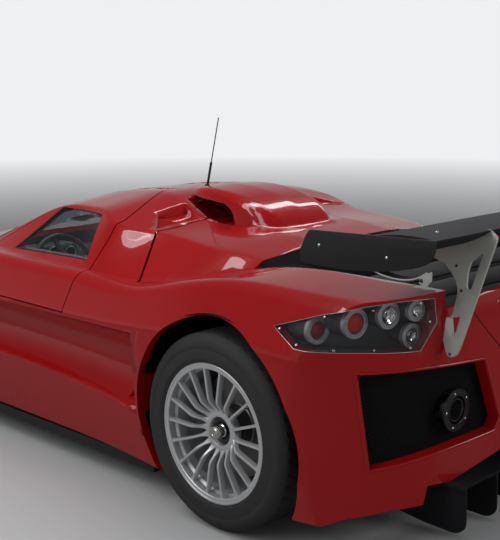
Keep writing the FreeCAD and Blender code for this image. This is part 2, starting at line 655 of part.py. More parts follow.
mouth = [(1100, 1060), (985, 1058), (930, 1052), (880, 1046), (800, 1042), (720, 1036), (675, 1015), (655, 990),
         (640, 960), (600, 700), (1100, 700)]
mouth = cross_prism([(rear(x), z) for x, z in mouth], -1, 400)
scoop = scoop_volume(0).cut(scoop_volume(SCOOP_WALL)).cut(mouth).cut(outer)
scoop = max(scoop.Solids, key=lambda solid: solid.Volume)
cover = lid_skin.common(cover_zone).cut(cover_room).fuse(cover_moving).fuse(scoop)
keep("engine_cover", both(cover))


def bound(text):
    """The expression with each size's name pointed at the sheet."""
    for name, _, _ in sorted(SIZES, key=lambda row: -len(row[0])):
        text = text.replace(f"[{name}]", f"Sizes.{name}")
    return text


def primitive(kind, label, at, turn=None, **sizes):
    """A Part primitive whose sizes and place are bound to the sheet."""
    item = doc.addObject(kind, label)
    for prop, text in sizes.items():
        item.setExpression(prop, bound(text))
    if turn:
        item.Placement = FreeCAD.Placement(V(0, 0, 0), FreeCAD.Rotation(*turn))
    for axis, text in zip("xyz", at):
        item.setExpression(f"Placement.Base.{axis}", bound(text))
    return item


def boxed(label, x, y, z):
    """Box between pairs of bound limits."""
    (x0, x1), (y0, y1), (z0, z1) = x, y, z
    return primitive("Part::Box", label, (x0, y0, z0),
                     Length=f"({x1}) - ({x0})", Width=f"({y1}) - ({y0})", Height=f"({z1}) - ({z0})")


def fused(label, members):
    item = doc.addObject("Part::MultiFuse", label)
    item.Shapes = members
    return item


def cut(label, base, tool):
    item = doc.addObject("Part::Cut", label)
    item.Base = base
    item.Tool = tool
    return item


def reflected(label, source):
    item = doc.addObject("Part::Mirroring", label)
    item.Source = source
    item.Base = V(0, 0, 0)
    item.Normal = V(0, 1, 0)
    return item


def own(label, item):
    item.Label = label
    pieces[label] = item
    return item


REAR = "[rear_axle_x]"
FRONT = "[rear_axle_x] + [wheelbase]"
SIT = "[floor_top] + [seat_gap]"

# Flat floor
floor_wide = boxed("FloorWide", (f"{REAR} + 418", f"{FRONT} - 395"), ("-[skirt_y]", "[skirt_y]"),
                   ("[floor_low]", "[floor_top]"))
floor_long = boxed("FloorLong", (f"{REAR} - 330", f"{FRONT} + 640"), ("-520", "520"),
                   ("[floor_low]", "[floor_top]"))
own("underfloor", fused("Underfloor", [floor_wide, floor_long]))

# Tub: floor, side boxes and bulkheads
tub_parts = [
    boxed("TubFloor", (f"{REAR} + 600", f"{FRONT} - 570"), ("-[tub_y]", "[tub_y]"), (SIT, f"{SIT} + [tub_floor]")),
    boxed("TubLeft", (f"{REAR} + 600", f"{FRONT} - 600"), ("[tub_y]", "800"), (SIT, "[tub_top]")),
    boxed("TubRight", (f"{REAR} + 600", f"{FRONT} - 600"), ("-800", "-[tub_y]"), (SIT, "[tub_top]")),
    boxed("FrontBulkhead", (f"{FRONT} - 600", f"{FRONT} - 570"), ("-700", "700"), (SIT, "640")),
    boxed("RearBulkheadLow", (f"{REAR} + 600", f"{REAR} + 640"), ("-790", "790"), (SIT, "700")),
    boxed("RearBulkheadHigh", (f"{REAR} + 600", f"{REAR} + 640"), ("-540", "540"), ("690", "875")),
]
own("tub", fused("Tub", tub_parts))

# Luggage box under the bonnet
box_outside = boxed("LuggageOutside", (f"{FRONT} - 569.7", f"{FRONT} + 430 - [seat_gap]"), ("-450", "450"), (SIT, "500"))
box_inside = boxed("LuggageInside", (f"{FRONT} - 557", f"{FRONT} + 417"), ("-438", "438"), ("200", "600"))
own("luggage_box", cut("LuggageBox", box_outside, box_inside))

# Powertrain
own("powertrain", fused("Powertrain", [
    boxed("Engine", (f"{REAR} - 120", f"{REAR} + 560"), ("-290", "290"), (SIT, "740")),
    boxed("Gearbox", (f"{REAR} - 330", f"{REAR} - 110"), ("-170", "170"), (SIT, "500")),
]))

# Dashboard, steering wheel and seats
own("dashboard", boxed("Dashboard", (f"{FRONT} - 840", f"{FRONT} - 600 - [seat_gap]"), ("-600", "600"),
                       ("540", "690")))
wheel_turn = (V(0, 1, 0), -68)
steering_parts = [
    primitive("Part::Torus", "SteeringRim", (f"{FRONT} - 985", "360", "640"), wheel_turn,
              Radius1="165", Radius2="14"),
    primitive("Part::Cylinder", "SteeringBoss", (f"{FRONT} - 985", "360", "640"), wheel_turn,
              Radius="45", Height="20"),
]
for k in range(3):
    spoke = primitive("Part::Box", f"SteeringSpoke{k}", (f"{FRONT} - 985", "360", "640"), wheel_turn,
                      Length="165", Width="24", Height="8")
    spoke.Placement = FreeCAD.Placement(
        spoke.Placement.Base, FreeCAD.Rotation(V(0, 1, 0), -68).multiply(FreeCAD.Rotation(V(0, 0, 1), 90 * k - 90)))
    steering_parts.append(spoke)
column = primitive("Part::Cylinder", "SteeringColumn", (f"{FRONT} - 985", "360", "640"), (V(0, 1, 0), 112),
                   Radius="22", Height="147.2")
steering_parts.append(column)
own("steering_wheel", fused("SteeringWheel", steering_parts))

SEAT_SIDE = [(672, 745), (700, 800), (748, 790), (815, 560), (890, 335), (960, 290), (1330, 330), (1345, 240),
             (1290, 186), (820, 186), (745, 300)]
seat_base = size("floor_top") + seat + size("tub_floor") + seat - 186
seat_side = [(rear(x), z + seat_base) for x, z in SEAT_SIDE]
shell = cross_prism(seat_side, 150, 570)
well = cross_prism([(x + 34, z + 26) for x, z in seat_side], 205, 515)
shell = shell.cut(well)
keep("seats", pair(shell))

# Antenna
antenna_at = V(rear(1072), 0, top_of(outer, rear(1072), 1) - 0)
antenna_foot = Part.makeCone(16, 9, 14, antenna_at + V(0, 0, -1.5))
lean = V(-math.sin(math.radians(15)), 0, math.cos(math.radians(15)))
antenna = antenna_foot.fuse(Part.makeCylinder(size("antenna_radius"), size("antenna_length"), antenna_at, lean))
antenna = antenna.fuse(Part.makeCylinder(5.5, 120, antenna_at, lean))
keep("antenna", antenna.cut(outer.fuse(mirrored(outer))))

# Mirrors
mirror_top = top_of(outer, front(-770), 815)
stalk = Part.makeCylinder(9, 60, V(front(-770), 815, mirror_top - 12), V(0, 0.22, 1))
head = block(front(-800), front(-745), 800, 975, mirror_top + 22, mirror_top + 92)
head = head.makeFillet(20, head.Edges)
keep("mirrors", pair(stalk.fuse(head).cut(outer)))


def ring(body, label, offset, length, outer_rule, inner_rule=None):
    """Ring or disc padded along the body's own Z."""
    sketch = body.newObject("Sketcher::SketchObject", f"{label}Sketch")
    plane = [f for f in body.Origin.OriginFeatures if f.Role == "XY_Plane"][0]
    sketch.AttachmentSupport = [(plane, "")]
    sketch.MapMode = "FlatFace"
    sketch.setExpression("AttachmentOffset.Base.z", bound(offset))
    for rule in [outer_rule] + ([inner_rule] if inner_rule else []):
        index = sketch.addGeometry(Part.Circle(V(0, 0, 0), V(0, 0, 1), 10), False)
        sketch.addConstraint(Sketcher.Constraint("Coincident", index, 3, -1, 1))
        number = sketch.addConstraint(Sketcher.Constraint("Radius", index, 10.0))
        sketch.setExpression(f"Constraints[{number}]", bound(rule))
    pad = body.newObject("PartDesign::Pad", label)
    pad.Profile = sketch
    pad.setExpression("Length", bound(length))
    return pad


def rim(label, width, inner_y, hub_y, axle, radius):
    """Wheel with its brake disc, its axis along the body's own Z and its inner side at the origin."""
    body = doc.addObject("PartDesign::Body", label)
    ring(body, f"{label}Barrel", "6", f"{width} - 12", "[rim_radius]", "[rim_radius] - [rim_wall]")
    ring(body, f"{label}OuterLip", f"{width} - 13", "8", "[rim_radius] + [rim_lip]", "[rim_radius] - [rim_wall]")
    ring(body, f"{label}InnerLip", "5", "8", "[rim_radius] + [rim_lip]", "[rim_radius] - [rim_wall]")
    sketch = body.newObject("Sketcher::SketchObject", f"{label}SpokeSketch")
    plane = [f for f in body.Origin.OriginFeatures if f.Role == "XY_Plane"][0]
    sketch.AttachmentSupport = [(plane, "")]
    sketch.MapMode = "FlatFace"
    sketch.setExpression("AttachmentOffset.Base.z", bound(f"{width} - 12 - [spoke_depth]"))
    hub, far, half = size("hub_radius") - 5, size("rim_radius") - size("rim_wall") + 3, size("spoke_width") / 2
    corners = [V(hub, -half, 0), V(far, -half, 0), V(far, half, 0), V(hub, half, 0)]
    for a, b in zip(corners, corners[1:] + corners[:1]):
        sketch.addGeometry(Part.LineSegment(a, b), False)
    for k in range(4):
        sketch.addConstraint(Sketcher.Constraint("Coincident", k, 2, (k + 1) % 4, 1))
    for kind, line in (("Horizontal", 0), ("Horizontal", 2), ("Vertical", 3)):
        sketch.addConstraint(Sketcher.Constraint(kind, line))
    for first, second, kind, rule in (
        (0, 1, "DistanceX", "[hub_radius] - 5"), (1, 1, "DistanceX", "[rim_radius] - [rim_wall] + 3"),
    ):
        number = sketch.addConstraint(Sketcher.Constraint(kind, -1, 1, first, second, 100.0))
        sketch.setExpression(f"Constraints[{number}]", bound(rule))
    number = sketch.addConstraint(Sketcher.Constraint("DistanceY", 1, 1, 1, 2, 10.0))
    sketch.setExpression(f"Constraints[{number}]", bound("[spoke_width]"))
    sketch.addConstraint(Sketcher.Constraint("Symmetric", 1, 1, 1, 2, -1))
    spoke = body.newObject("PartDesign::Pad", f"{label}Spoke")
    spoke.Profile = sketch
    spoke.setExpression("Length", bound("[spoke_depth]"))
    doc.recompute()
    pattern = body.newObject("PartDesign::PolarPattern", f"{label}Spokes")
    pattern.Originals = [spoke]
    pattern.Axis = (sketch, ["N_Axis"])
    pattern.Angle = 360
    pattern.setExpression("Occurrences", bound("[spoke_count]"))
    body.Tip = pattern
    ring(body, f"{label}Hub", hub_y, f"{width} - 14 - ({hub_y})", "[hub_radius]")
    ring(body, f"{label}Disc", hub_y, "[disc_wall]", "[disc_radius]")
    sketch = body.newObject("Sketcher::SketchObject", f"{label}BoreSketch")
    sketch.AttachmentSupport = [(plane, "")]
    sketch.MapMode = "FlatFace"
    sketch.setExpression("AttachmentOffset.Base.z", bound(hub_y))
    index = sketch.addGeometry(Part.Circle(V(0, 0, 0), V(0, 0, 1), 10), False)
    sketch.addConstraint(Sketcher.Constraint("Coincident", index, 3, -1, 1))
    number = sketch.addConstraint(Sketcher.Constraint("Radius", index, 10.0))
    sketch.setExpression(f"Constraints[{number}]", bound("[spindle_radius] + [running_fit]"))
    bore = body.newObject("PartDesign::Pocket", f"{label}Bore")
    bore.Profile = sketch
    bore.Reversed = True
    bore.setExpression("Length", bound("80"))
    body.Tip = bore
    body.Placement = FreeCAD.Placement(V(0, 0, 0), FreeCAD.Rotation(V(1, 0, 0), -90))
    for axis, rule in zip("xyz", (axle, inner_y, radius)):
        body.setExpression(f"Placement.Base.{axis}", bound(rule))
    return body


def tyre(label, width, inner_y, axle, radius):
    """Tyre: a ring with round shoulders and a recess for each rim flange."""
    turn = (V(1, 0, 0), -90)
    tread = primitive("Part::Cylinder", f"{label}Tread", (axle, inner_y, radius), turn, Radius=radius, Height=width)
    doc.recompute()
    rounded = doc.addObject("Part::Fillet", f"{label}Shoulders")
    rounded.Base = tread
    edges = [k + 1 for k, edge in enumerate(tread.Shape.Edges) if isinstance(edge.Curve, Part.Circle)]
    rounded.Edges = [(k, size("tyre_shoulder"), size("tyre_shoulder")) for k in edges]
    hole = primitive("Part::Cylinder", f"{label}Hole", (axle, f"{inner_y} - 1", radius), turn,
                     Radius="[rim_radius] + [seat_gap]", Height=f"{width} + 2")
    low = primitive("Part::Cylinder", f"{label}LowSeat", (axle, f"{inner_y} - 1", radius), turn,
                    Radius="[rim_radius] + [rim_lip] + 2", Height="15")
    high = primitive("Part::Cylinder", f"{label}HighSeat", (axle, f"{inner_y} + {width} - 14", radius), turn,
                     Radius="[rim_radius] + [rim_lip] + 2", Height="15")
    return cut(f"{label}Body", rounded, fused(f"{label}Holes", [hole, low, high]))


for side_label, width, face, axle, radius, hub_y in (
    ("front", "[front_width]", "[front_face_y]", FRONT, "[front_radius]", "[kingpin_y] - ([front_face_y] - [front_width]) + 36"),
    ("rear", "[rear_width]", "[rear_face_y]", REAR, "[rear_radius]", "[rear_width] - 168"),
):
    inner_y = f"{face} - {width}"
    rim_left = rim(f"{side_label.title()}Rim", width, inner_y, hub_y, axle, radius)
    tyre_left = tyre(f"{side_label.title()}Tyre", width, inner_y, axle, radius)
    own(f"rim_{side_label}_left", rim_left)
    own(f"tyre_{side_label}_left", tyre_left)
    own(f"rim_{side_label}_right", reflected(f"{side_label.title()}RimRight", rim_left))
    own(f"tyre_{side_label}_right", reflected(f"{side_label.title()}TyreRight", tyre_left))

# Front knuckles and suspension
up = (V(0, 0, 1), 0)
out = (V(1, 0, 0), -90)
knuckle = fused("KnuckleLeft", [
    boxed("KnucklePost", (f"{FRONT} - 24", f"{FRONT} + 24"), ("[kingpin_y] - 24", "[kingpin_y] + 24"), ("204", "456")),
    primitive("Part::Cylinder", "KnucklePins", (FRONT, "[kingpin_y]", "166"), up, Radius="[kingpin_radius]", Height="328"),
    primitive("Part::Cylinder", "KnuckleSpindle", (FRONT, "[kingpin_y]", "[front_radius]"), out,
              Radius="[spindle_radius]", Height="112"),
])
own("knuckle_left", knuckle)
own("knuckle_right", reflected("KnuckleRight", knuckle))


def arm(label, axle, inboard, outboard, low, high):
    return boxed(label, (f"{axle} - 22", f"{axle} + 22"), (inboard, outboard), (low, high))


front_arms = []
for name, low in (("Lower", "164"), ("Upper", "466")):
    blank = fused(f"Front{name}Blank", [
        arm(f"Front{name}Arm", FRONT, "450 + [seat_gap]", "[kingpin_y]", low, f"{low} + 30"),
        boxed(f"Front{name}Foot", (f"{FRONT} - 150", f"{FRONT} + 150"), ("450 + [seat_gap]", "490"), (low, f"{low} + 30")),
        primitive("Part::Cylinder", f"Front{name}Boss", (FRONT, "[kingpin_y]", low), up, Radius="26", Height="30"),
    ])
    bore = primitive("Part::Cylinder", f"Front{name}Bore", (FRONT, "[kingpin_y]", f"{low} - 5"), up,
                     Radius="[kingpin_radius] + [running_fit]", Height="40")
    front_arms.append(cut(f"Front{name}", blank, bore))
front_left = fused("FrontArmsLeft", front_arms)
front_right = reflected("FrontArmsRight", front_left)
own("front_suspension", fused("FrontSuspension", [front_left, front_right]))

rear_left = fused("RearArmsLeft", [
    arm("RearLowerArm", REAR, "290 + [seat_gap]", "745", "215", "245"),
    arm("RearUpperArm", REAR, "290 + [seat_gap]", "745", "475", "505"),
    boxed("RearUpright", (f"{REAR} - 40", f"{REAR} + 40"), ("715", "785"), ("200", "520")),
    primitive("Part::Cylinder", "RearSpindle", (REAR, "760", "[rear_radius]"), out, Radius="[spindle_radius]",
              Height="[rear_face_y] - 168 + 79 - 760"),
])
own("rear_suspension", fused("RearSuspension", [rear_left, reflected("RearArmsRight", rear_left)]))

# Right-hand pieces are the left ones mirrored
for label in ("side_sill", "rear_quarter", "front_fender", "door", "door_glass"):
    own(f"{label}_right", reflected(f"{label.title().replace('_', '')}Right", pieces[f"{label}_left"]))

doc.recompute()
faults = []
for item in doc.Objects:
    if "Invalid" in item.State or "Error" in item.State:
        faults.append(f"{item.Name}: {item.State}")
for label, item in pieces.items():
    if item.Shape.isNull() or not item.Shape.isValid() or not item.Shape.Solids:
        faults.append(f"{label}: shape")
os.makedirs("parts", exist_ok=True)
for label, item in pieces.items():
    print(label, len(item.Shape.Solids), item.Shape.isValid())
if faults:
    raise RuntimeError("; ".join(faults))
for label, item in pieces.items():
    item.Shape.exportStep(f"parts/{label}.step")
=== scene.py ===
import math
import bmesh
import bpy
import numpy as np
from mathutils import Matrix, Vector
from mathutils.bvhtree import BVHTree


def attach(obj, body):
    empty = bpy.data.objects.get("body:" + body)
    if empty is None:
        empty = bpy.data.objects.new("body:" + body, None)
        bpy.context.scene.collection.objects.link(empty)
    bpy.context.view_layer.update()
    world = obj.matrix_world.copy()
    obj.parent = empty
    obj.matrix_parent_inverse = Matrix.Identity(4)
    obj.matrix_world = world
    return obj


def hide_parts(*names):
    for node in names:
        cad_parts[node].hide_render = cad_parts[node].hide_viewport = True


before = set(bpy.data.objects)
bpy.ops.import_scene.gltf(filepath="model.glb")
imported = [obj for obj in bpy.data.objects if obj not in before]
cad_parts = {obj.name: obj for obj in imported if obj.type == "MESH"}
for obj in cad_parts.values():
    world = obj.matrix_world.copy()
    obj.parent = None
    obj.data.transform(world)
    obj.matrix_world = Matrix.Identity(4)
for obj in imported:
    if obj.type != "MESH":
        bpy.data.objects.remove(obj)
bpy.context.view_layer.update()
rearAxle, frontAxle = -1.368, 1.332  # where the axles stand along the car
sides = (("left", 1), ("right", -1))
print("frame loaded:", len(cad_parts), "nodes")


class Value:
    # a number that varies over a surface; arithmetic on it adds Math nodes to its finish
    def __init__(self, finish, socket):
        self.finish, self.socket = finish, socket

    def __add__(self, other):
        return self.finish.maths("ADD", self, other)

    __radd__ = __add__

    def __sub__(self, other):
        return self.finish.maths("SUBTRACT", self, other)

    def __rsub__(self, other):
        return self.finish.maths("SUBTRACT", other, self)

    def __mul__(self, other):
        return self.finish.maths("MULTIPLY", self, other)

    __rmul__ = __mul__

    def __truediv__(self, other):
        return self.finish.maths("DIVIDE", self, other)


class Network:
    # the nodes of one material or world
    def __init__(self, tree):
        self.tree = tree

    def node(self, kind, settings, inputs, output=0):
        # a new shader node; each input takes either a plain value or another node's output
        made = self.tree.nodes.new(kind)
        for name, value in settings.items():
            setattr(made, name, value)
        for key, value in inputs.items():
            if isinstance(value, Value):
                self.tree.links.new(value.socket, made.inputs[key])
            else:
                made.inputs[key].default_value = value
        return Value(self, made.outputs[output])

    def maths(self, operation, first, second=0.0):
        # first and second through one sum, difference, product or power
        return self.node("ShaderNodeMath", {"operation": operation}, {0: first, 1: second})

    def mixed(self, mask, first, second):
        # first times (1 - mask) plus second times mask
        return self.node("ShaderNodeMix", {"data_type": "RGBA"}, {"Factor": mask, 6: first, 7: second}, 2)

    def clamped(self, value):
        # the value, but at least 0 and at most 1
        return self.node("ShaderNodeClamp", {}, {"Value": value})

    def chosen(self, mask, first, second, outputNode):
        # a Mix Shader between two shaders, sent to the surface
        choice = self.node("ShaderNodeMixShader", {}, {0: mask, 1: first, 2: second})
        self.tree.links.new(choice.socket, self.tree.nodes[outputNode].inputs["Surface"])


class Finish(Network):
    # one material: a Principled shader with its constants on its own sockets
    def __init__(self, name, constants):
        self.material = bpy.data.materials.new(name)
        self.material.use_nodes = True
        super().__init__(self.material.node_tree)
        self.shader = self.tree.nodes["Principled BSDF"]
        for socket, value in constants.items():
            self.shader.inputs[socket].default_value = value
        self.places = self.node("ShaderNodeTexCoord", {}, {}, "Object")

    def mapped(self, scale=(1, 1, 1), turn=(0, 0, 0)):
        # the object's own places times scale, then turned about x, y and z
        return self.node("ShaderNodeMapping", {}, {"Vector": self.places, "Scale": scale, "Rotation": turn})

    def noise(self, scale, detail=2.0, places=None):
        # layers of smooth noise, each twice as fine and half as strong as the one before
        return self.node("ShaderNodeTexNoise", {},
                         {"Vector": places or self.places, "Scale": scale, "Detail": detail})

    def wave(self, scale, places):
        # bands along x from 0 to 1: a sine of 20 times scale times x, halved and raised by a half
        return self.node("ShaderNodeTexWave", {}, {"Vector": places, "Scale": scale})

    def into(self, socket, value):
        # a node's output linked to one of the shader's inputs
        self.tree.links.new(value.socket, self.shader.inputs[socket])
        return self

    def bumped(self, height, strength, distance):
        # the normal tilted by the height's slope, times distance, then mixed in by strength
        normal = self.node("ShaderNodeBump", {},
                           {"Height": height, "Strength": strength, "Distance": distance})
        return self.into("Normal", normal)


def scaled(colour, factor, lift=0.0):
    # a colour times a factor plus a lift, kept opaque
    return tuple(min(1.0, value * factor + lift) for value in colour[:3]) + (1,)


def paintFinish(name, colour, deep):
    # lacquered paint: flake varies its colour a little, orange peel ripples the clear coat's base
    lacquer = {"Coat Weight": 1.0, "Coat Roughness": 0.025, "Coat IOR": 1.42, "Specular IOR Level": 0.08}
    finish = Finish(name, lacquer)
    flake = finish.noise(1400, 1.0)
    cloud = finish.noise(3.0, 2.0)
    finish.into("Base Color", finish.mixed(flake * 0.5 + cloud * 0.5, deep, colour))
    finish.into("Roughness", 0.24 + cloud * 0.1)
    return finish.bumped(finish.noise(420, 1.0), 0.012, 0.001)


def plasticFinish(name, colour, roughness, grain=700, depth=0.15, gloss=0.5):
    # moulded plastic or rubber: fine grain in bump, slight blotches in roughness
    finish = Finish(name, {"Specular IOR Level": gloss})
    cloud = finish.noise(6.0, 3.0)
    finish.into("Base Color", finish.mixed(cloud, scaled(colour, 0.82), colour))
    finish.into("Roughness", (roughness - 0.06) + cloud * 0.12)
    return finish.bumped(finish.noise(grain, 2.0), depth, 0.0004)


def metalFinish(name, colour, roughness, stretch=(1, 1, 1), depth=0.08, metallic=1.0):
    # metal: drawn or cast texture, stretched along the direction in which it was worked
    finish = Finish(name, {"Metallic": metallic})
    worked = finish.noise(260, 3.0, finish.mapped(stretch))
    cloud = finish.noise(9.0, 3.0)
    finish.into("Base Color", finish.mixed(cloud, scaled(colour, 0.85), colour))
    finish.into("Roughness", (roughness - 0.08) + worked * 0.1 + cloud * 0.08)
    return finish.bumped(worked, depth, 0.0003)


def carbonFinish(name, colour, gloss, coat, shine=0.5):
    # twill: two sets of diagonal bands that trade places, faint under lacquer
    finish = Finish(name, {"Coat Weight": coat, "Coat Roughness": 0.04, "Specular IOR Level": shine})
    left = finish.wave(95, finish.mapped((1, 1, 1), (0, 0, 0.785)))
    right = finish.wave(95, finish.mapped((1, 1, 1), (0, 0, -0.785)))
    weave = finish.maths("MAXIMUM", left, 1 - right)
    finish.into("Base Color", finish.mixed(weave, colour, scaled(colour, 1.6, 0.004)))
    finish.into("Roughness", gloss + weave * 0.08)
    return finish.bumped(weave, 0.05, 0.0003)


def leatherFinish(name, colour, roughness):
    # hide: wrinkles between pebbles, lighter where it is rubbed
    finish = Finish(name, {"Sheen Weight": 0.12})
    pebbles = finish.node("ShaderNodeTexVoronoi", {"feature": "DISTANCE_TO_EDGE"},
                          {"Vector": finish.places, "Scale": 420.0}, "Distance")
    cloud = finish.noise(7.0, 3.0)
    finish.into("Base Color", finish.mixed(cloud, colour, scaled(colour, 1.5, 0.01)))
    finish.into("Roughness", (roughness - 0.05) + cloud * 0.1)
    return finish.bumped(pebbles, 0.35, 0.0006)


def glassFinish(name, tint, index=1.45):
    # clear or tinted pane: transmission with a faint variation of its gloss
    finish = Finish(name, {"Base Color": tint, "Transmission Weight": 1.0, "IOR": index, "Roughness": 0.0})
    return finish.bumped(finish.noise(2.0, 1.0), 0.01, 0.002)


finishes = {
    "paint": paintFinish("paintRed", (0.34, 0.004, 0.005, 1), (0.28, 0.003, 0.004, 1)),
    "carbon": carbonFinish("carbonSatin", (0.012, 0.012, 0.013, 1), 0.38, 0.2),
    "wing": carbonFinish("wingMatte", (0.012, 0.012, 0.014, 1), 0.62, 0.0, 0.15),
    "endplate": carbonFinish("endplateMatte", (0.007, 0.007, 0.0075, 1), 0.5, 0.0, 0.35),
    "slat": carbonFinish("slatSatin", (0.006, 0.006, 0.0075, 1), 0.5, 0.0, 0.1),
    "plastic": plasticFinish("plasticBlack", (0.012, 0.012, 0.013, 1), 0.5),
    "seal": plasticFinish("rubberSeal", (0.009, 0.009, 0.009, 1), 0.62, 900, 0.08),
    "tyre": plasticFinish("tyreRubber", (0.022, 0.022, 0.022, 1), 0.72, 380, 0.2),
    "mesh": plasticFinish("meshBlack", (0.0025, 0.0025, 0.0025, 1), 0.55, 700, 0.15, 0.2),
    "inside": plasticFinish("shadowLining", (0.0035, 0.0035, 0.0035, 1), 0.8, 700, 0.15, 0.2),
    "deckBlack": plasticFinish("deckBlack", (0.004, 0.004, 0.0045, 1), 0.85, 700, 0.15, 0.05),
    "mirror": metalFinish("mirrorGlass", (0.8, 0.81, 0.82, 1), 0.13, (1, 1, 1), 0.0),
    "caliper": plasticFinish("caliperGrey", (0.06, 0.06, 0.065, 1), 0.4),
    "dial": plasticFinish("dialFace", (0.012, 0.012, 0.014, 1), 0.25),
    "aluminium": metalFinish("barePlate", (0.46, 0.46, 0.42, 1), 0.42, (1, 1, 14), 0.08, 0.35),
    "silver": metalFinish("wheelSilver", (0.64, 0.65, 0.66, 1), 0.36, (1, 1, 1), 0.08, 0.6),
    "polished": metalFinish("polishedLip", (0.8, 0.8, 0.8, 1), 0.12, (1, 1, 1), 0.02),
    "steel": metalFinish("castSteel", (0.22, 0.22, 0.22, 1), 0.45),
    "disc": metalFinish("brakeDisc", (0.17, 0.165, 0.16, 1), 0.4),
    "titanium": metalFinish("exhaustMetal", (0.075, 0.073, 0.072, 1), 0.38),
    "lensRed": plasticFinish("lensRed", (0.9, 0.012, 0.003, 1), 0.2, 900, 0.02, 0.3),
    "lensDark": plasticFinish("lensDarkRed", (0.5, 0.02, 0.022, 1), 0.22, 900, 0.02, 0.3),
    "tub": plasticFinish("lampHousing", (0.075, 0.08, 0.085, 1), 0.42),
    "screw": metalFinish("screwHead", (0.72, 0.71, 0.68, 1), 0.22),
    "nut": metalFinish("wheelNut", (0.09, 0.09, 0.1, 1), 0.35),
    "leather": leatherFinish("seatLeather", (0.016, 0.015, 0.015, 1), 0.5),
    "dash": leatherFinish("dashLeather", (0.02, 0.019, 0.019, 1), 0.62),
    "glass": glassFinish("windowGlass", (0.78, 0.86, 0.88, 1), 1.3),
    "lampGlass": glassFinish("lampGlass", (0.96, 0.97, 0.98, 1)),
}
print("materials made:", len(finishes))


def gridFaces(rows, columns, wrapRows=False, wrapColumns=False):
    # quads between neighbouring points of a grid, round the wrapped directions too
    i = np.arange(rows if wrapRows else rows - 1)[:, None]
    j = np.arange(columns if wrapColumns else columns - 1)[None, :]
    nextI, nextJ = (i + 1) % rows, (j + 1) % columns
    corners = (i * columns + j, nextI * columns + j, nextI * columns + nextJ, i * columns + nextJ)
    return np.stack(np.broadcast_arrays(*corners), -1).reshape(-1, 4)


def unit(vectors):
    # vectors scaled to length one
    vectors = np.asarray(vectors, float)
    return vectors / np.maximum(np.linalg.norm(vectors, axis=-1, keepdims=True), 1e-12)


def circle(count, shift=0.0):
    # points evenly round a circle of radius one: (cos, sin) of 2 pi (k + shift) / count
    angle = (np.arange(count) + shift) / count * 2 * np.pi
    return np.stack((np.cos(angle), np.sin(angle)), -1)


def fromAxle(angle):
    # the way straight out from an axle at each angle: (cos, 0, sin)
    return np.stack((np.cos(angle), 0 * angle, np.sin(angle)), -1)


def fromRear(points):
    # points measured from the rear axle, in the car's own frame
    return np.asarray(points, float) + np.array((rearAxle, 0, 0))


def joined(shapes):
    # several (points, faces) as one, the faces of each shifted past the points before it
    points, faces, shift = [], [], 0
    for some, quads in shapes:
        some = np.asarray(some, float).reshape(-1, 3)
        points.append(some)
        faces += [tuple(int(index) + shift for index in face) for face in quads]
        shift += len(some)
    return np.concatenate(points), faces


def mirrored(shape):
    # a shape of the left side and its mirror image on the right
    return joined((shape, (shape[0] * (1, -1, 1), shape[1])))


def placed(name, data):
    # a new object in the scene for a mesh, curve, lamp or camera
    piece = bpy.data.objects.new(name, data)
    bpy.context.scene.collection.objects.link(piece)
    return piece


def meshOf(name, points, faces, edges=()):
    # a mesh from arrays or lists of points, faces and loose edges
    mesh = bpy.data.meshes.new(name)
    mesh.from_pydata(np.asarray(points, float).reshape(-1, 3).tolist(), [tuple(edge) for edge in edges],
                     [tuple(face) for face in faces])
    return mesh


def pointsOf(mesh):
    # a mesh's points as one array
    points = np.empty(len(mesh.vertices) * 3, np.float32)
    mesh.vertices.foreach_get("co", points)
    return points.reshape(-1, 3)


def setPoints(mesh, points):
    # each point of the mesh moved to its row of the array
    mesh.vertices.foreach_set("co", points.ravel())
    mesh.update()


def selected(piece):
    # makes a piece the one that the operators work on
    bpy.ops.object.select_all(action="DESELECT")
    bpy.context.view_layer.objects.active = piece
    piece.select_set(True)


def cleaned(source, target, distance=2e-6, slivers=False, outward=False, triangles=False):
    # a mesh with its doubles merged; on request its slivers go, its faces point out, or it is cut into
    # triangles
    work = bmesh.new()
    work.from_mesh(source)
    bmesh.ops.remove_doubles(work, verts=work.verts, dist=distance)
    if slivers:
        bmesh.ops.dissolve_degenerate(work, edges=work.edges, dist=1e-6)
    if outward:
        bmesh.ops.recalc_face_normals(work, faces=work.faces)
    if triangles:
        bmesh.ops.triangulate(work, faces=work.faces)
    work.to_mesh(target)
    work.free()


def dressed(mesh, finish):
    # gives a mesh one finish
    mesh.materials.clear()
    mesh.materials.append(finishes[finish].material)


def finished(piece, finish, body, stands=(), outward=True, crease=30):
    # merges doubles, points the faces out, smooths up to the crease angle, and places the piece on its body
    cleaned(piece.data, piece.data, slivers=True, outward=outward)
    piece.data.polygons.foreach_set("use_smooth", [True] * len(piece.data.polygons))
    piece.data.set_sharp_from_angle(angle=math.radians(crease))
    dressed(piece.data, finish)
    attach(piece, body)
    if stands:
        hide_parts(*stands)


def made(name, shape, finish, body="body", stands=(), crease=30):
    # a new piece from (points, faces)
    finished(placed(name, meshOf(name, *shape)), finish, body, stands, True, crease)


def copied(name, node, finish, body="body", crease=32):
    # the CAD node's own surface, its loose triangles merged, with a smooth skin between its edges
    piece = placed(name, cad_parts[node].data.copy())
    finished(piece, finish, body, (node,), False, crease)
    return piece


def turned(profile, count, centre, along=(0, 1, 0), closed=True):
    # a profile of (radius, distance) carried round an axis: centre + distance * axis + radius * spoke(angle)
    profile, along = np.asarray(profile, float), np.asarray(along, float)
    first = unit(np.cross(along, (0.0, 0.0, 1.0) if abs(along[2]) < 0.9 else (1.0, 0.0, 0.0)))
    spoke = circle(count) @ np.stack((first, np.cross(along, first)))
    points = np.asarray(centre, float) + profile[None, :, 1:] * along + profile[None, :, :1] * spoke[:, None]
    return points.reshape(-1, 3), gridFaces(count, len(profile), True, closed)


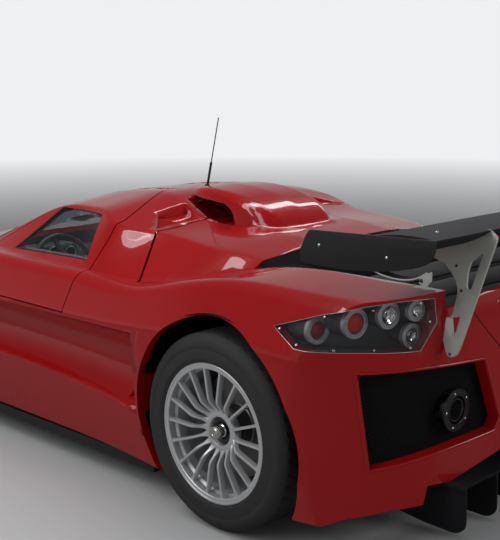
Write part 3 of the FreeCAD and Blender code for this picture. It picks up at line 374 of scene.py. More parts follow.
def carried(path, section, sideways, up, closedPath=False):
    # a closed section of (across, up) carried along a path: path + across * sideways + up * up, ends capped
    path, section = np.asarray(path, float), np.asarray(section, float)
    sideways, up = (np.broadcast_to(np.asarray(way, float), path.shape)[:, None] for way in (sideways, up))
    section = np.broadcast_to(section, (len(path),) + section.shape[-2:])
    points = path[:, None] + section[..., :1] * sideways + section[..., 1:] * up
    rows, columns = points.shape[:2]
    faces = [tuple(face) for face in gridFaces(rows, columns, closedPath, True)]
    if not closedPath:
        faces += [tuple(range(columns)), tuple(range((rows - 1) * columns, rows * columns))]
    return points.reshape(-1, 3), faces


def acrossCar(section, half, middle=0.0):
    # a section of (distance from the rear axle, height) carried straight across the car
    return carried(fromRear(((0, middle - half, 0), (0, middle + half, 0))), section, (1, 0, 0), (0, 0, 1))


def tube(path, radius, count=12, closedPath=False):
    # a round section carried along a path, square to its direction at every point
    path = np.asarray(path, float)
    ahead = unit(np.roll(path, -1, 0) - np.roll(path, 1, 0) if closedPath else np.gradient(path, axis=0))
    helper = (0.03, 0.05, 1.0) if np.abs(ahead[:, 2]).max() < 0.95 else (0.08, 1.0, 0.04)
    sideways = unit(np.cross(ahead, helper))
    return carried(path, radius * circle(count), sideways, np.cross(sideways, ahead), closedPath)


def tubes(path, radius, count, closedPath=False):
    # a tube on the car's left and one on its right
    return joined([tube(path * (1, side, 1), radius, count, closedPath) for _, side in sides])


def throughPoints(points, count):
    # a smooth path through points: Catmull-Rom, evenly shared between them
    points = np.asarray(points, float)
    padded = np.concatenate((2 * points[:1] - points[1:2], points, 2 * points[-1:] - points[-2:-1]))
    step = np.linspace(0, len(points) - 1, count)
    index = np.minimum(step.astype(int), len(points) - 2)
    t = (step - index)[:, None]
    a, b, c, d = (padded[index + k] for k in range(4))
    bend, twist = 2 * a - 5 * b + 4 * c - d, 3 * b - a - 3 * c + d
    return 0.5 * (2 * b + (c - a) * t + bend * t ** 2 + twist * t ** 3)


def roundedBox(low, high, radius, count=6):
    # a box whose edges are rounded: a unit cube's grid, pushed out of a smaller box by the radius
    low, high = np.asarray(low, float), np.asarray(high, float)
    core, middle = (high - low) / 2 - radius, (high + low) / 2
    steps = np.linspace(-1, 1, 2 * count + 1)
    grid = np.stack(np.meshgrid(steps, steps, indexing="ij"), -1)
    shapes = []
    for axis in range(3):
        for end in (-1.0, 1.0):
            sheet = np.insert(grid, axis, end, -1)
            direction = unit(np.sign(sheet) * np.clip((np.abs(sheet) - 0.5) * 2, 0, 1))
            inside = np.clip(np.abs(sheet) * 2, 0, 1) * np.sign(sheet)
            shapes.append((middle + inside * core + direction * radius, gridFaces(len(steps), len(steps))))
    return joined(shapes)


def domes(places, outward, radius, height=0.45, count=12):
    # round screw or rivet heads: a quarter ellipse turned about each head's own axis
    bow = np.linspace(0, np.pi / 2, 4)
    profile = np.stack((radius * np.cos(bow), radius * height * np.sin(bow)), -1)
    profile = np.concatenate((((radius, -radius * 0.6),), profile))
    ways = np.broadcast_to(unit(outward), np.shape(places))
    return joined([turned(profile, count, place, way, False) for place, way in zip(places, ways)])


def plateOf(name, loops, thickness, bevel, turn, place, finish, stands=()):
    # a flat plate cut to an outline with holes: a filled curve, thickened, then made a mesh in its place
    curve = bpy.data.curves.new(name, "CURVE")
    curve.dimensions, curve.fill_mode = "2D", "BOTH"
    curve.extrude, curve.bevel_depth, curve.bevel_resolution = thickness / 2 - bevel, bevel, 1
    curve.offset = -bevel
    for loop in loops:
        spline = curve.splines.new("POLY")
        spline.points.add(len(loop) - 1)
        spline.points.foreach_set("co", np.insert(np.insert(loop, 2, 0, 1), 3, 1, 1).ravel())
        spline.use_cyclic_u = True
    flatPiece = placed(name, curve)
    bpy.context.view_layer.update()
    mesh = bpy.data.meshes.new_from_object(flatPiece.evaluated_get(bpy.context.evaluated_depsgraph_get()))
    bpy.data.objects.remove(flatPiece)
    mesh.transform(Matrix.Translation(place) @ turn)
    mesh.name = name
    finished(placed(name, mesh), finish, "body", stands)


def nodeShape(node):
    # a CAD node's points and triangles with its doubles merged, and each triangle's normal
    mesh = bpy.data.meshes.new("scratch")
    cleaned(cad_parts[node].data, mesh, triangles=True)
    points = pointsOf(mesh).astype(float)
    faces = np.empty(len(mesh.polygons) * 3, np.int32)
    normals = np.empty(len(mesh.polygons) * 3, np.float32)
    mesh.loops.foreach_get("vertex_index", faces)
    mesh.polygons.foreach_get("normal", normals)
    bpy.data.meshes.remove(mesh)
    return points, faces.reshape(-1, 3), normals.reshape(-1, 3)


def facesOf(points, faces, kept):
    # the kept triangles, with only their own points
    used, order = np.unique(faces[kept], return_inverse=True)
    return points[used], order.reshape(-1, 3)


def openEdges(faces):
    # the edges that only one triangle has, in that triangle's own direction
    edges = np.concatenate([faces[:, [k, (k + 1) % 3]] for k in range(3)])
    first, count = np.unique(np.sort(edges, 1), axis=0, return_index=True, return_counts=True)[1:]
    return edges[first[count == 1]]


def pointNormals(points, faces):
    # at each point, the sum of the cross products of its triangles' edges, scaled to length one
    cross = np.cross(points[faces[:, 1]] - points[faces[:, 0]], points[faces[:, 2]] - points[faces[:, 0]])
    total = np.zeros_like(points)
    np.add.at(total, faces.ravel(), np.repeat(cross, 3, 0))
    return unit(total)


def wallsOf(faces, count):
    # quads from the open edges to the same edges of a second skin, whose points come after the first skin's
    rim = openEdges(faces)
    return np.stack((rim[:, 1], rim[:, 0], rim[:, 0] + count, rim[:, 1] + count), -1)


def shelled(points, faces, shift):
    # a closed shell: a skin, the same skin moved by the shift and turned over, and walls between their rims
    count = len(points)
    shell = [*faces, *(faces[:, ::-1] + count), *wallsOf(faces, count)]
    return np.concatenate((points, points + shift)), shell


def beaded(name, points, edges, radius, finish, body="body"):
    # a thin round bead along edges: they become a curve, which gets a round section and is made a mesh again
    line = placed(name, meshOf(name, points, (), edges))
    selected(line)
    bpy.ops.object.convert(target="CURVE")
    line.data.bevel_depth, line.data.bevel_resolution, line.data.use_fill_caps = radius, 1, True
    bpy.ops.object.convert(target="MESH")
    finished(line, finish, body, (), True, 60)


def landed(node, starts, directions):
    # where straight lines from the starts first meet a CAD node's surface, and the surface's normals there
    points, faces = nodeShape(node)[:2]
    tree = BVHTree.FromPolygons(points.tolist(), faces.tolist())
    hits = [tree.ray_cast(Vector(start), Vector(way).normalized()) for start, way in zip(starts, directions)]
    kept = [hit for hit in hits if hit[0] is not None]
    return np.array([hit[0] for hit in kept]), np.array([hit[1] for hit in kept])


def eased(loop, radius, steps=5):
    # an outline with rounded corners: each corner becomes a quadratic curve that starts and ends a radius
    # from it
    loop = np.asarray(loop, float)
    start, end = (loop + unit(side) * np.minimum(radius, np.linalg.norm(side, axis=1)[:, None] * 0.45)
                  for side in (np.roll(loop, 1, 0) - loop, np.roll(loop, -1, 0) - loop))
    t = np.linspace(0, 1, steps)[None, :, None]
    curves = (1 - t) ** 2 * start[:, None] + 2 * t * (1 - t) * loop[:, None] + t ** 2 * end[:, None]
    return curves.reshape(-1, 2)


# camera, floor and lamps
view = {"at": (-4.0289, 3.3298, 1.6272), "yaw": -0.8352, "pitch": -0.1909, "lens": 76.815, "shift": -0.1425}
stage = {"floorSize": 60.0, "floor": (0.5, 0.505, 0.51, 1), "horizon": (0.86, 0.87, 0.88, 1),
         # the floor's grey in reflections is darker than the floor seen directly: painted shade of the floor
         # beside the car
         "mirrored": (0.4, 0.405, 0.41, 1), "floorShadeInReflections": (0.2, 0.2, 0.202, 1),
         "zenith": (0.09, 0.095, 0.105, 1), "fill": 0.3, "darkFrom": 0.1, "darkOver": 0.42, "fadeFrom": 6.0,
         "fadeOver": 8.0}
lamps = (
    # name, place, aimed at, size along and across, watts
    ("stripFarRight", (0.3, -2.3, 4.0), (0.2, -0.9, 0.6), 6.0, 0.34, 38),
    ("stripRight", (0.3, -0.8, 4.3), (0.2, -0.3, 0.6), 6.0, 0.34, 40),
    ("stripLeft", (0.3, 0.7, 4.3), (0.2, 0.3, 0.6), 6.0, 0.34, 40),
    ("stripFarLeft", (0.3, 2.2, 4.0), (0.2, 0.9, 0.6), 6.0, 0.34, 38),
    ("leftSoftbox", (-0.8, 4.6, 4.1), (-0.4, 0.6, 0.5), 5.0, 1.1, 80),
    ("rearSoftbox", (-5.2, -0.9, 2.8), (-1.6, 0.0, 0.6), 2.6, 0.9, 46),
)


def placeCamera():
    # looks along yaw and pitch from the fitted place, level with the horizon
    ahead = Vector((math.cos(view["pitch"]) * math.cos(view["yaw"]),
                    math.cos(view["pitch"]) * math.sin(view["yaw"]),
                    math.sin(view["pitch"])))
    right = Vector((math.sin(view["yaw"]), -math.cos(view["yaw"]), 0))
    turn = Matrix((right, right.cross(ahead), -ahead)).transposed()
    lens = bpy.data.cameras.new("camera")
    lens.sensor_fit, lens.sensor_width = "HORIZONTAL", 36.0
    lens.lens, lens.shift_x = view["lens"], view["shift"]
    camera = placed("camera", lens)
    camera.matrix_world = Matrix.Translation(view["at"]) @ turn.to_4x4()
    bpy.context.scene.camera = camera


def placeLamps():
    # each lamp is a long panel that faces the point it is aimed at
    for name, place, target, length, width, watts in lamps:
        light = bpy.data.lights.new(name, "AREA")
        light.shape, light.size, light.size_y, light.energy = "RECTANGLE", length, width, watts
        lamp = placed(name, light)
        lamp.location = place
        lamp.rotation_euler = (Vector(target) - Vector(place)).to_track_quat("-Z", "X").to_euler()


def placeWorld():
    # even pale light on matt surfaces; what is seen or mirrored is a backdrop, pale low down and darker
    # overhead
    world = bpy.data.worlds.new("studio")
    bpy.context.scene.world = world
    world.use_nodes = True
    sky = Network(world.node_tree)
    fill = sky.node("ShaderNodeBackground", {}, {"Color": (0.96, 0.98, 1.0, 1), "Strength": stage["fill"]})
    towards = sky.node("ShaderNodeTexCoord", {}, {}, "Generated")
    height = sky.node("ShaderNodeSeparateXYZ", {}, {"Vector": towards}, "Z")
    rise = sky.clamped((height - stage["darkFrom"]) / stage["darkOver"])
    glossy = sky.node("ShaderNodeLightPath", {}, {}, "Is Glossy Ray")
    pale = sky.mixed(glossy, stage["horizon"], stage["mirrored"])
    backdrop = sky.node("ShaderNodeBackground", {}, {"Color": sky.mixed(rise, pale, stage["zenith"])})
    seen = sky.node("ShaderNodeLightPath", {}, {}, "Is Camera Ray")
    for kind in ("Is Glossy Ray", "Is Transmission Ray"):
        seen = sky.maths("MAXIMUM", seen, sky.node("ShaderNodeLightPath", {}, {}, kind))
    sky.chosen(seen, fill, backdrop, "World Output")


def placeFloor():
    # a pale floor that fades into the backdrop with its distance from the car; seen in reflections it is
    # darker, a painted shade of the floor beside the car
    finish = Finish("studioFloor", {"Roughness": 0.4, "Specular IOR Level": 0.35})
    cloud = finish.noise(0.8, 3.0)
    light = scaled(stage["floor"], 1.04)
    glossy = finish.node("ShaderNodeLightPath", {}, {}, "Is Glossy Ray")
    ground = finish.mixed(cloud, stage["floor"], light)
    # in reflections the floor takes the darker grey: painted shade of the floor near the car
    finish.into("Base Color", finish.mixed(glossy, ground, stage["floorShadeInReflections"]))
    distance = finish.node("ShaderNodeVectorMath", {"operation": "LENGTH"}, {0: finish.places}, "Value")
    fade = finish.clamped((distance - stage["fadeFrom"]) / stage["fadeOver"])
    pale = finish.mixed(glossy, stage["horizon"], stage["mirrored"])
    glow = finish.node("ShaderNodeEmission", {}, {"Color": pale, "Strength": 1.0})
    finish.chosen(fade, Value(finish, finish.shader.outputs[0]), glow, "Material Output")
    half = stage["floorSize"] / 2
    corners = [(-half, -half, 0), (half, -half, 0), (half, half, 0), (-half, half, 0)]
    floor = placed("floor", meshOf("floor", corners, [(0, 1, 2, 3)]))
    floor.data.materials.append(finish.material)


placeCamera()
placeLamps()
placeWorld()
placeFloor()
bpy.context.scene.view_settings.view_transform = "Standard"
print("stage set")


# body panels: the CAD skins with one smooth surface between their edges
panels = {
    "nose": "body", "scuttle": "body", "roof": "body", "rear_fascia": "body", "side_sill_left": "body",
    "side_sill_right": "body", "front_fender_left": "body", "front_fender_right": "body",
    "rear_quarter_left": "body", "rear_quarter_right": "body", "bonnet": "bonnet_lid",
    "engine_cover": "engine_lid", "door_left": "left_door", "door_right": "right_door",
    "deck_louvres": "body",
}
# hinge barrels lie flush in the skins: nodes, the one with the pin first; ranges along x; middle and half
# width along y; line of the skin; its fall per metre outwards; the pin's place across its axis and its
# height; 1 where the axis runs across the car
hinges = (
    (("roof", "door_left", "door_right"), ((1.168, 1.262), (1.318, 1.412)), 0.15, 0.034,
     ((1.12, 1.063), (1.16, 1.0619), (1.2, 1.0594), (1.24, 1.0564), (1.28, 1.0532), (1.32, 1.0499),
      (1.36, 1.0455), (1.4, 1.0404), (1.44, 1.0331)), 0.0, 0.15, 1.0596, 0),
    (("nose", "bonnet"), ((3.33, 3.374),), 0.17, 0.046,
     ((3.3, 0.564), (3.34, 0.5487), (3.35, 0.5447), (3.36, 0.5404), (3.38, 0.5321)), 0.0, 3.345, 0.5497, 1),
    (("deck_louvres", "engine_cover"), ((0.122, 0.188),), 0.3, 0.047,
     ((0.12, 0.9181), (0.145, 0.9202), (0.165, 0.9222), (0.18, 0.9239)), 0.083, 0.155, 0.9296, 1),
)
pinReach, pinWire, pinRise, skinLift = 0.0033, 0.1, 0.0005, 0.0006


def smoothHinges(piece, holdsPin, ranges, across, halfWidth, skin, fall, pinAt, pinHeight, alongY):
    # a point of a hinge above the skin's line comes down to it: z = min(z, line at x - fall outwards + lift);
    # a pin shrinks to a wire just above that line, or stays on its axis where the axis is lower
    mesh = piece.data
    points = pointsOf(mesh)
    x, y, z = points[:, 0] - rearAxle, points[:, 1], points[:, 2]
    out = np.abs(y) - across
    near = (np.abs(out) < halfWidth) & (sum((x > low) & (x < high) for low, high in ranges) > 0)
    line = np.interp(x, *np.array(skin).T) - fall * out + skinLift
    offset = x - pinAt if alongY else np.abs(y) - pinAt
    pin = near & holdsPin & (np.hypot(offset, z - pinHeight) < pinReach)
    shift = offset * (pinWire - 1) * pin
    if alongY:
        points[:, 0] += shift
    else:
        points[:, 1] += shift * np.sign(y)
    wire = np.minimum(pinHeight, line + pinRise) + (z - pinHeight) * pinWire
    points[:, 2] = np.where(pin, wire, np.where(near, np.minimum(z, line), z))
    setPoints(mesh, points)


for node, body in panels.items():
    skin = copied(f"skin_{node}", node, "deckBlack" if node == "deck_louvres" else "paint", body)
    for nodes, *barrels in hinges:
        if node in nodes:
            smoothHinges(skin, node == nodes[0], *barrels)
plain = {
    "tub": "carbon", "underfloor": "plastic", "front_splitter": "carbon", "luggage_box": "carbon",
    "powertrain": "steel", "front_suspension": "steel", "rear_suspension": "steel", "knuckle_left": "steel",
    "knuckle_right": "steel", "steering_wheel": "leather", "antenna": "plastic", "mirrors": "paint",
    # the grilles' plates are near-black: painted shade behind the mesh bars
    "grilles": "inside",
}
for node, finish in plain.items():
    dressed(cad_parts[node].data, finish)
print("body panels placed")


# wheels: for each end the middle along the car, its height, the width and how far out the tyre's face stands
wheel = {
    "front": (frontAxle, 0.33, 0.255, 0.96), "rear": (rearAxle, 0.36, 0.335, 0.968), "turns": 96,
    "spokes": 18, "spokeSteps": 22, "hubRadius": 0.074, "rootIn": 0.016, "spokeEnd": 0.2345,
    "diveFrom": 0.125, "spread": 1.25, "diveLead": 0.012, "hubFlare": 0.024, "rimFlare": 0.016,
    "rimShare": 0.7, "spokeHalf": 0.0052, "spokeFlare": 0.006, "hubDepth": 0.047, "rimDepth": 0.0135,
    "spokeThick": 0.022,
    "spokeCorners": ((-0.8, -1), (-1, -0.16), (-0.72, 0), (0.72, 0), (1, -0.16), (0.8, -1)),
    "discOut": {"front": 0.833, "rear": 0.832}, "caliperSweep": 0.42, "caliperSteps": 15,
    "caliperAt": {"front": 150, "rear": 20},
}
tyres = {
    "grooves": (-0.3, -0.1, 0.1, 0.3), "grooveHalf": 0.0055, "grooveDepth": 0.006, "sipes": 48,
    "sipeDepth": 0.004, "divisions": 336, "treadSteps": 31, "seat": 0.254, "slant": 2.2, "sipeShare": 0.16,
    "sipesFrom": 0.42, "shoulder": 0.036, "crownDrop": 0.0012, "crownBow": 0.0022,
}


def spokesOf(side, centre):
    # each spoke runs straight out along its angle; its depth follows half a cosine wave from the hub up to
    # the rim's level; a bar of changing width is carried along it
    hub, end = wheel["hubRadius"], wheel["spokeEnd"]
    t = np.linspace(0, 1, wheel["spokeSteps"])[:, None] ** wheel["spread"]
    radius = hub - wheel["rootIn"] + (end - hub + wheel["rootIn"]) * t
    lead = wheel["diveLead"] - hub
    rise = np.clip((radius + lead) / (wheel["diveFrom"] + lead), 0, 1)
    depth = -wheel["hubDepth"] + (wheel["hubDepth"] - wheel["rimDepth"]) * (1 - np.cos(np.pi * rise)) / 2
    nearHub = np.clip(1 - (radius - hub) / wheel["hubFlare"], 0, 1)
    nearRim = np.clip(1 - (end - radius) / wheel["rimFlare"], 0, 1)
    half = wheel["spokeHalf"] + wheel["spokeFlare"] * (nearHub ** 2 + wheel["rimShare"] * nearRim ** 2)
    corner = np.array(wheel["spokeCorners"]).T
    section = np.stack((corner[0] * half, corner[1] * wheel["spokeThick"] + 0 * half), -1)
    along = np.array((0, side, 0))
    angles = np.arange(wheel["spokes"]) / wheel["spokes"] * 2 * np.pi
    return joined([carried(centre + out * radius + along * depth, section, around, along)
                   for out, around in zip(fromAxle(angles), fromAxle(angles + np.pi / 2))])


def wheelAt(end, sideName, side):
    # rim, tyre, disc and nut as profiles of (radius, distance outwards from the tyre's face) turned about the
    # axle
    name, body = f"{end}_{sideName}", f"wheel_{end}_{sideName}"
    x, z, width, face = wheel[end]
    centre, along = np.array((x, side * face, z)), (0, side, 0)
    rim = [
        (0.2535, -0.0175), (0.2542, -0.012), (0.2538, -0.0078), (0.2522, -0.0062), (0.2468, -0.0062),
        (0.2456, -0.0078), (0.2345, -0.0084), (0.2322, -0.0104), (0.2315, -0.016), (0.2315, -0.038),
        (0.2235, -0.046), (0.2225, -0.05), (0.2225, -0.078), (0.232, -0.086), (0.232, 0.04 - width),
        (0.2355, 0.02 - width), (0.246, 0.0065 - width), (0.2525, 0.0055 - width), (0.254, 0.009 - width),
        (0.2535, 0.0165 - width), (0.2415, 0.022 - width), (0.2405, 0.05 - width), (0.2405, -0.05),
        (0.2415, -0.022)]
    hub = [(0.051, -0.05), (0.053, -0.0465), (0.058, -0.0452), (0.068, -0.0462), (0.0755, -0.0495),
           (0.078, -0.055), (0.0775, -0.068), (0.071, -0.082), (0.06, -0.094), (0.05, -0.1), (0.0, -0.1),
           (0.0, -0.088), (0.049, -0.086), (0.0505, -0.08)]
    collar = [(0.0, -0.07), (0.03, -0.07), (0.031, -0.062), (0.035, -0.0585), (0.041, -0.0575),
              (0.0465, -0.0585), (0.0495, -0.062), (0.05, -0.07), (0.05, -0.086), (0.0, -0.086)]
    nub = [(0.0, -0.0225), (0.0055, -0.0225), (0.006, -0.0165), (0.0085, -0.0145), (0.019, -0.0145),
           (0.0222, -0.0165), (0.0226, -0.02), (0.0226, -0.034), (0.0205, -0.036), (0.0205, -0.052),
           (0.024, -0.056), (0.0245, -0.07), (0.0, -0.07)]
    made(f"rim_{name}", turned(rim, wheel["turns"], centre, along), "silver", body, (f"rim_{name}",))
    spokes = joined([spokesOf(side, centre), turned(hub, 72, centre, along)])
    made(f"spokes_{name}", spokes, "silver", body, (), 40)
    made(f"wheelNut_{name}", turned(collar, 48, centre, along), "nut", body)
    made(f"nutCentre_{name}", turned(nub, 40, centre, along), "screw", body)
    discFace = wheel["discOut"][end] - face
    disc = np.array(((0.0745, -0.006), (0.08, 0), (0.1865, 0), (0.188, -0.0015), (0.188, -0.0115),
                     (0.183, -0.012), (0.183, -0.02), (0.188, -0.0205), (0.188, -0.0305), (0.1865, -0.032),
                     (0.08, -0.032), (0.0745, -0.026))) + (0, discFace)
    bell = [(0.045, -0.09), (0.072, -0.096), (0.0785, discFace + 0.004), (0.083, discFace + 0.001),
            (0.083, discFace - 0.002), (0.05, discFace - 0.002)]
    disc = joined([turned(disc, 96, centre, along), turned(bell, 64, centre, along)])
    made(f"brakeDisc_{name}", disc, "disc", body, (), 35)
    # caliper: a saddle over the disc, open towards the hub, carried along an arc about the axle
    saddle = np.array(((0.13, 0.022), (0.19, 0.022), (0.19, -0.022), (0.13, -0.022), (0.128, -0.046),
                       (0.2, -0.046), (0.209, -0.038), (0.209, 0.038), (0.2, 0.046), (0.128, 0.046)))
    saddle += (0, discFace - 0.016)
    sweep = np.linspace(-wheel["caliperSweep"], wheel["caliperSweep"], wheel["caliperSteps"])
    spoke = fromAxle(math.radians(wheel["caliperAt"][end]) + sweep)
    made(f"caliper_{name}", carried(np.broadcast_to(centre, spoke.shape), saddle, spoke, along), "caliper",
         f"{sideName}_knuckle" if end == "front" else "body")
    tyreAt(name, side, centre, z, width)


def tyreAt(name, side, centre, radius, width):
    # a tyre profile turned about the axle; in the tread, grooves lower it where |across - groove| < half its
    # width, and slanted sipes near the shoulders lower it where the angle's fraction of a pitch is small
    low = tyres["seat"]
    wall = radius - low
    outer = np.array([
        (0.2445, -0.019), (0.2465, -0.0125), (low, -0.0072), (0.2565, -0.0052), (0.2575, -0.0062),
        (0.262, -0.0035),
        (0.266, -0.0022), (0.267, -0.0032), (0.268, -0.0018), (low + wall * 0.45, -0.0006),
        (low + wall * 0.47, -0.0014), (low + wall * 0.49, -0.0005), (low + wall * 0.62, -0.001),
        (low + wall * 0.72, -0.0036), (low + wall * 0.8, -0.0085), (low + wall * 0.88, -0.016),
        (radius - 0.0045, -0.026)])
    half = width / 2
    out = np.linspace(half - tyres["shoulder"], tyres["shoulder"] - half, tyres["treadSteps"] * 2 + 1)
    crown = radius - tyres["crownDrop"] - tyres["crownBow"] * (out / half) ** 2
    tread = np.stack((crown, out - half), -1)
    inner = np.stack((outer[::-1, 0], -width - outer[::-1, 1]), -1)
    lining = [(0.25, 0.03 - width), (radius - 0.016, 0.04 - width), (radius - 0.016, -0.04), (0.25, -0.03)]
    profile = np.concatenate((outer, tread, inner, lining))
    angle = np.arange(tyres["divisions"])[:, None] / tyres["divisions"] * 2 * np.pi
    radii = profile[:, 0] + 0 * angle
    band = slice(len(outer), len(outer) + len(tread))
    place = (profile[band, 1] + half) / half
    slant = angle / (2 * np.pi) * tyres["sipes"] + np.abs(place) * tyres["slant"]
    lowered = (slant % 1.0 < tyres["sipeShare"]) * (np.abs(place) > tyres["sipesFrom"]) * tyres["sipeDepth"]
    for groove in tyres["grooves"]:
        inside = np.abs(place - groove) * half < tyres["grooveHalf"]
        lowered = np.maximum(lowered, inside * tyres["grooveDepth"])
    radii[:, band] -= lowered
    points = (centre + radii[..., None] * fromAxle(angle[:, 0])[:, None]
              + np.array((0, side, 0)) * profile[None, :, 1:])
    made(f"tyre_{name}", (points, gridFaces(len(angle), len(profile), True, True)), "tyre", f"wheel_{name}",
         (f"tyre_{name}",), 38)


for end in ("front", "rear"):
    for sideName, side in sides:
        wheelAt(end, sideName, side)
print("wheels placed")


# tail lamps, and headlamps: clear covers with a tub and lamps behind each
tailLamp = {
    "glass": 0.002, "bead": 0.0008, "tubShift": (0.085, -0.075, -0.006), "tubWall": 0.0015, "innerEnd": 0.615,
    "facing": (-0.982, 0.19, 0), "canDepth": 0.1, "spots": 12, "spotIn": 0.0082, "spotHead": (0.0016, 0.5),
    "lensIn": 0.0195, "screwHead": (0.0042, 0.5),
    # centre from the rear axle, outer radius, lens
    "rings": (((-0.431, 0.882, 0.791), 0.0465, "lensDark"), ((-0.544, 0.832, 0.823), 0.05, "lensRed"),
              ((-0.606, 0.742, 0.844), 0.046, "polished"), ((-0.662, 0.672, 0.856), 0.036, "polished"),
              ((-0.645, 0.673, 0.771), 0.041, "polished")),
    # where the cover's screws are sought from, and which way
    "screws": ((-0.309, 0.93, 0.789), (-0.405, 0.955, 0.754), (-0.52, 0.906, 0.747), (-0.61, 0.816, 0.745),
               (-0.672, 0.71, 0.743), (-0.7, 0.646, 0.822), (-0.682, 0.672, 0.885), (-0.606, 0.816, 0.873),
               (-0.478, 0.9, 0.848)),
    "screwWay": (0.55, -0.83, 0),
}
headlamp = {
    "tubShift": (-0.05, 0, -0.055), "facing": (0.93, 0.1, 0.36), "skinFacing": (0.6, 0, 0.8),
    "skinFrom": 0.35, "lamps": ((3.17, 0.735, 0.612, 0.05), (3.07, 0.79, 0.64, 0.042)),
}


def lampCover(kind, sideName, node, some, kept, floor, bead=0.0):
    # a cover is the outer skin of its CAD solid; the tub behind it runs from that skin back to a floor
    glass, count = tailLamp["glass"], len(some)
    normal = pointNormals(some, kept)
    made(f"{kind}Cover_{sideName}", shelled(some, kept, -normal * glass), "lampGlass", "body", (node,))
    if bead:
        beaded(f"{kind}Edge_{sideName}", some + normal * 0.0002, openEdges(kept), bead, "silver")
    skin = np.concatenate((some - normal * glass * 1.5, floor))
    walls = wallsOf(kept, count)
    faces = np.concatenate((kept + count, walls[:, [0, 2, 1]], walls[:, [0, 3, 2]]))
    made(f"{kind}Tub_{sideName}", shelled(skin, faces, -pointNormals(skin, faces) * tailLamp["tubWall"]),
         "tub")


def tailLampCovers():
    # the tub's floor is the outer skin moved forwards and inwards, no nearer to the middle than innerEnd
    points, faces, normals = nodeShape("tail_lamps")
    middles = points[faces].mean(1)
    outer = (normals[:, 1] * np.sign(middles[:, 1]) > 0.02) & (normals[:, 0] < 0.2)
    for sideName, side in sides:
        some, kept = facesOf(points, faces, outer & (middles[:, 1] * side > 0))
        floor = some + np.array(tailLamp["tubShift"]) * (1, side, 1)
        floor[:, 1] = side * np.maximum(side * floor[:, 1], tailLamp["innerEnd"])
        lampCover("lamp", sideName, "tail_lamps", some, kept, floor, tailLamp["bead"])


def lampRings():
    # a ring lamp is turned about the way that it faces: a can, a bezel and a domed lens or a stepped
    # reflector
    for sideName, side in sides:
        facing = np.array(tailLamp["facing"]) * (1, side, 1)
        around = circle(tailLamp["spots"]) @ np.stack((np.cross(facing, (0, 0, 1)), (0, 0, 1)))
        shapes = {"silver": [], "tub": [], "lensDark": [], "nut": [], "lensRed": [], "polished": []}
        for centre, radius, lens in tailLamp["rings"]:
            centre = fromRear(centre) * (1, side, 1)
            bezel = [(radius, -0.012), (radius, 0.003), (radius - 0.0015, 0.005), (radius - 0.0145, 0.0055),
                     (radius - 0.0165, 0.0035), (radius - 0.0165, -0.012)]
            can = [(0, -0.012), (radius - 0.001, -0.012), (radius - 0.001, -tailLamp["canDepth"]),
                   (0, -tailLamp["canDepth"])]
            inner = radius - tailLamp["lensIn"]
            dome = [(0, 0.0075), (inner * 0.4, 0.007), (inner * 0.75, 0.0045), (inner, -0.001),
                    (inner, -0.011),
                    (0, -0.011)]
            bowl = [(0, -0.004), (inner * 0.22, -0.003), (inner * 0.3, -0.009), (inner * 0.55, -0.0075),
                    (inner * 0.6, -0.004), (inner * 0.85, -0.001), (inner * 0.9, 0.003), (inner, 0.004),
                    (inner, -0.011), (0, -0.011)]
            for finish, profile in (("silver", bezel), ("tub", can),
                                    (lens, bowl if lens == "polished" else dome)):
                shapes[finish].append(turned(profile, 48, centre, facing))
            spots = centre + (radius - tailLamp["spotIn"]) * around + facing * 0.005
            shapes["nut"].append(domes(spots, facing, *tailLamp["spotHead"], 8))
        for finish, parts in shapes.items():
            made(f"lampRings_{finish}_{sideName}", joined(parts), finish)
        at, way = fromRear(tailLamp["screws"]) * (1, side, 1), np.array(tailLamp["screwWay"]) * (1, side, 1)
        places, normals = landed("tail_lamps", at - way * 0.3, np.broadcast_to(way, at.shape))
        heads = domes(places + normals * 0.0004, normals, *tailLamp["screwHead"])
        made(f"lampScrews_{sideName}", heads, "screw", crease=35)


def headlamps():
    # turned like the tail's ring lamps: a ring and a stepped bowl in each
    points, faces, normals = nodeShape("headlamps")
    middles = points[faces].mean(1)
    outer = normals @ np.array(headlamp["skinFacing"]) > headlamp["skinFrom"]
    for sideName, side in sides:
        some, kept = facesOf(points, faces, outer & (middles[:, 1] * side > 0))
        lampCover("headlamp", sideName, "headlamps", some, kept, some + np.array(headlamp["tubShift"]))
        facing = unit(np.array(headlamp["facing"]) * (1, side, 1))
        rings, bowls = [], []
        for x, y, z, radius in headlamp["lamps"]:
            centre, inner = fromRear((x, y * side, z)), radius - 0.01
            ring = [(radius, -0.05), (radius, 0.004), (radius - 0.002, 0.006), (radius - 0.008, 0.006),
                    (inner, 0.003), (inner, -0.05)]
            bowl = [(0, 0.004), (inner * 0.5, 0.002), (inner * 0.72, -0.006), (inner * 0.8, -0.012),
                    (inner, -0.004), (inner, -0.03), (0, -0.03)]
            rings.append(turned(ring, 48, centre, facing))
            bowls.append(turned(bowl, 48, centre, facing))
        made(f"headlampRings_{sideName}", joined(rings), "silver")
        made(f"headlampBowls_{sideName}", joined(bowls), "polished")


tailLampCovers()
lampRings()
print("tail lamps placed")


# outlets at the tail and the intake at the nose: crossed bars over the plates, which stay as near-black
# backs, painted shade behind the bars
bars = {
    "slope": 0.72, "pitch": 0.0125, "half": 0.0011, "deep": 0.0011, "steps": 12, "shortest": 0.003,
    "proud": 0.0002,
    "outlet": ((0.866, 0.671), (0.431, 0.669), (0.36, 0.452), (0.379, 0.409), (0.834, 0.345)),
    "intake": ((0.295, 0.222), (0.806, 0.232), (0.795, 0.334), (0.562, 0.359), (0.314, 0.354)),
}


def plateDepth(way):
    # how far along the car the outward face of a CAD mesh plate lies at each y
    points, faces, normals = nodeShape("grilles")
    middles = points[faces].mean(1)
    outer = (normals[:, 0] * way > 0.3) & (middles[:, 0] * way > 0) & (middles[:, 1] > 0)
    face = facesOf(points, faces, outer)[0]
    order = np.argsort(face[:, 1])
    return lambda y: np.interp(y, face[order, 1], face[order, 0]) + way * bars["proud"]


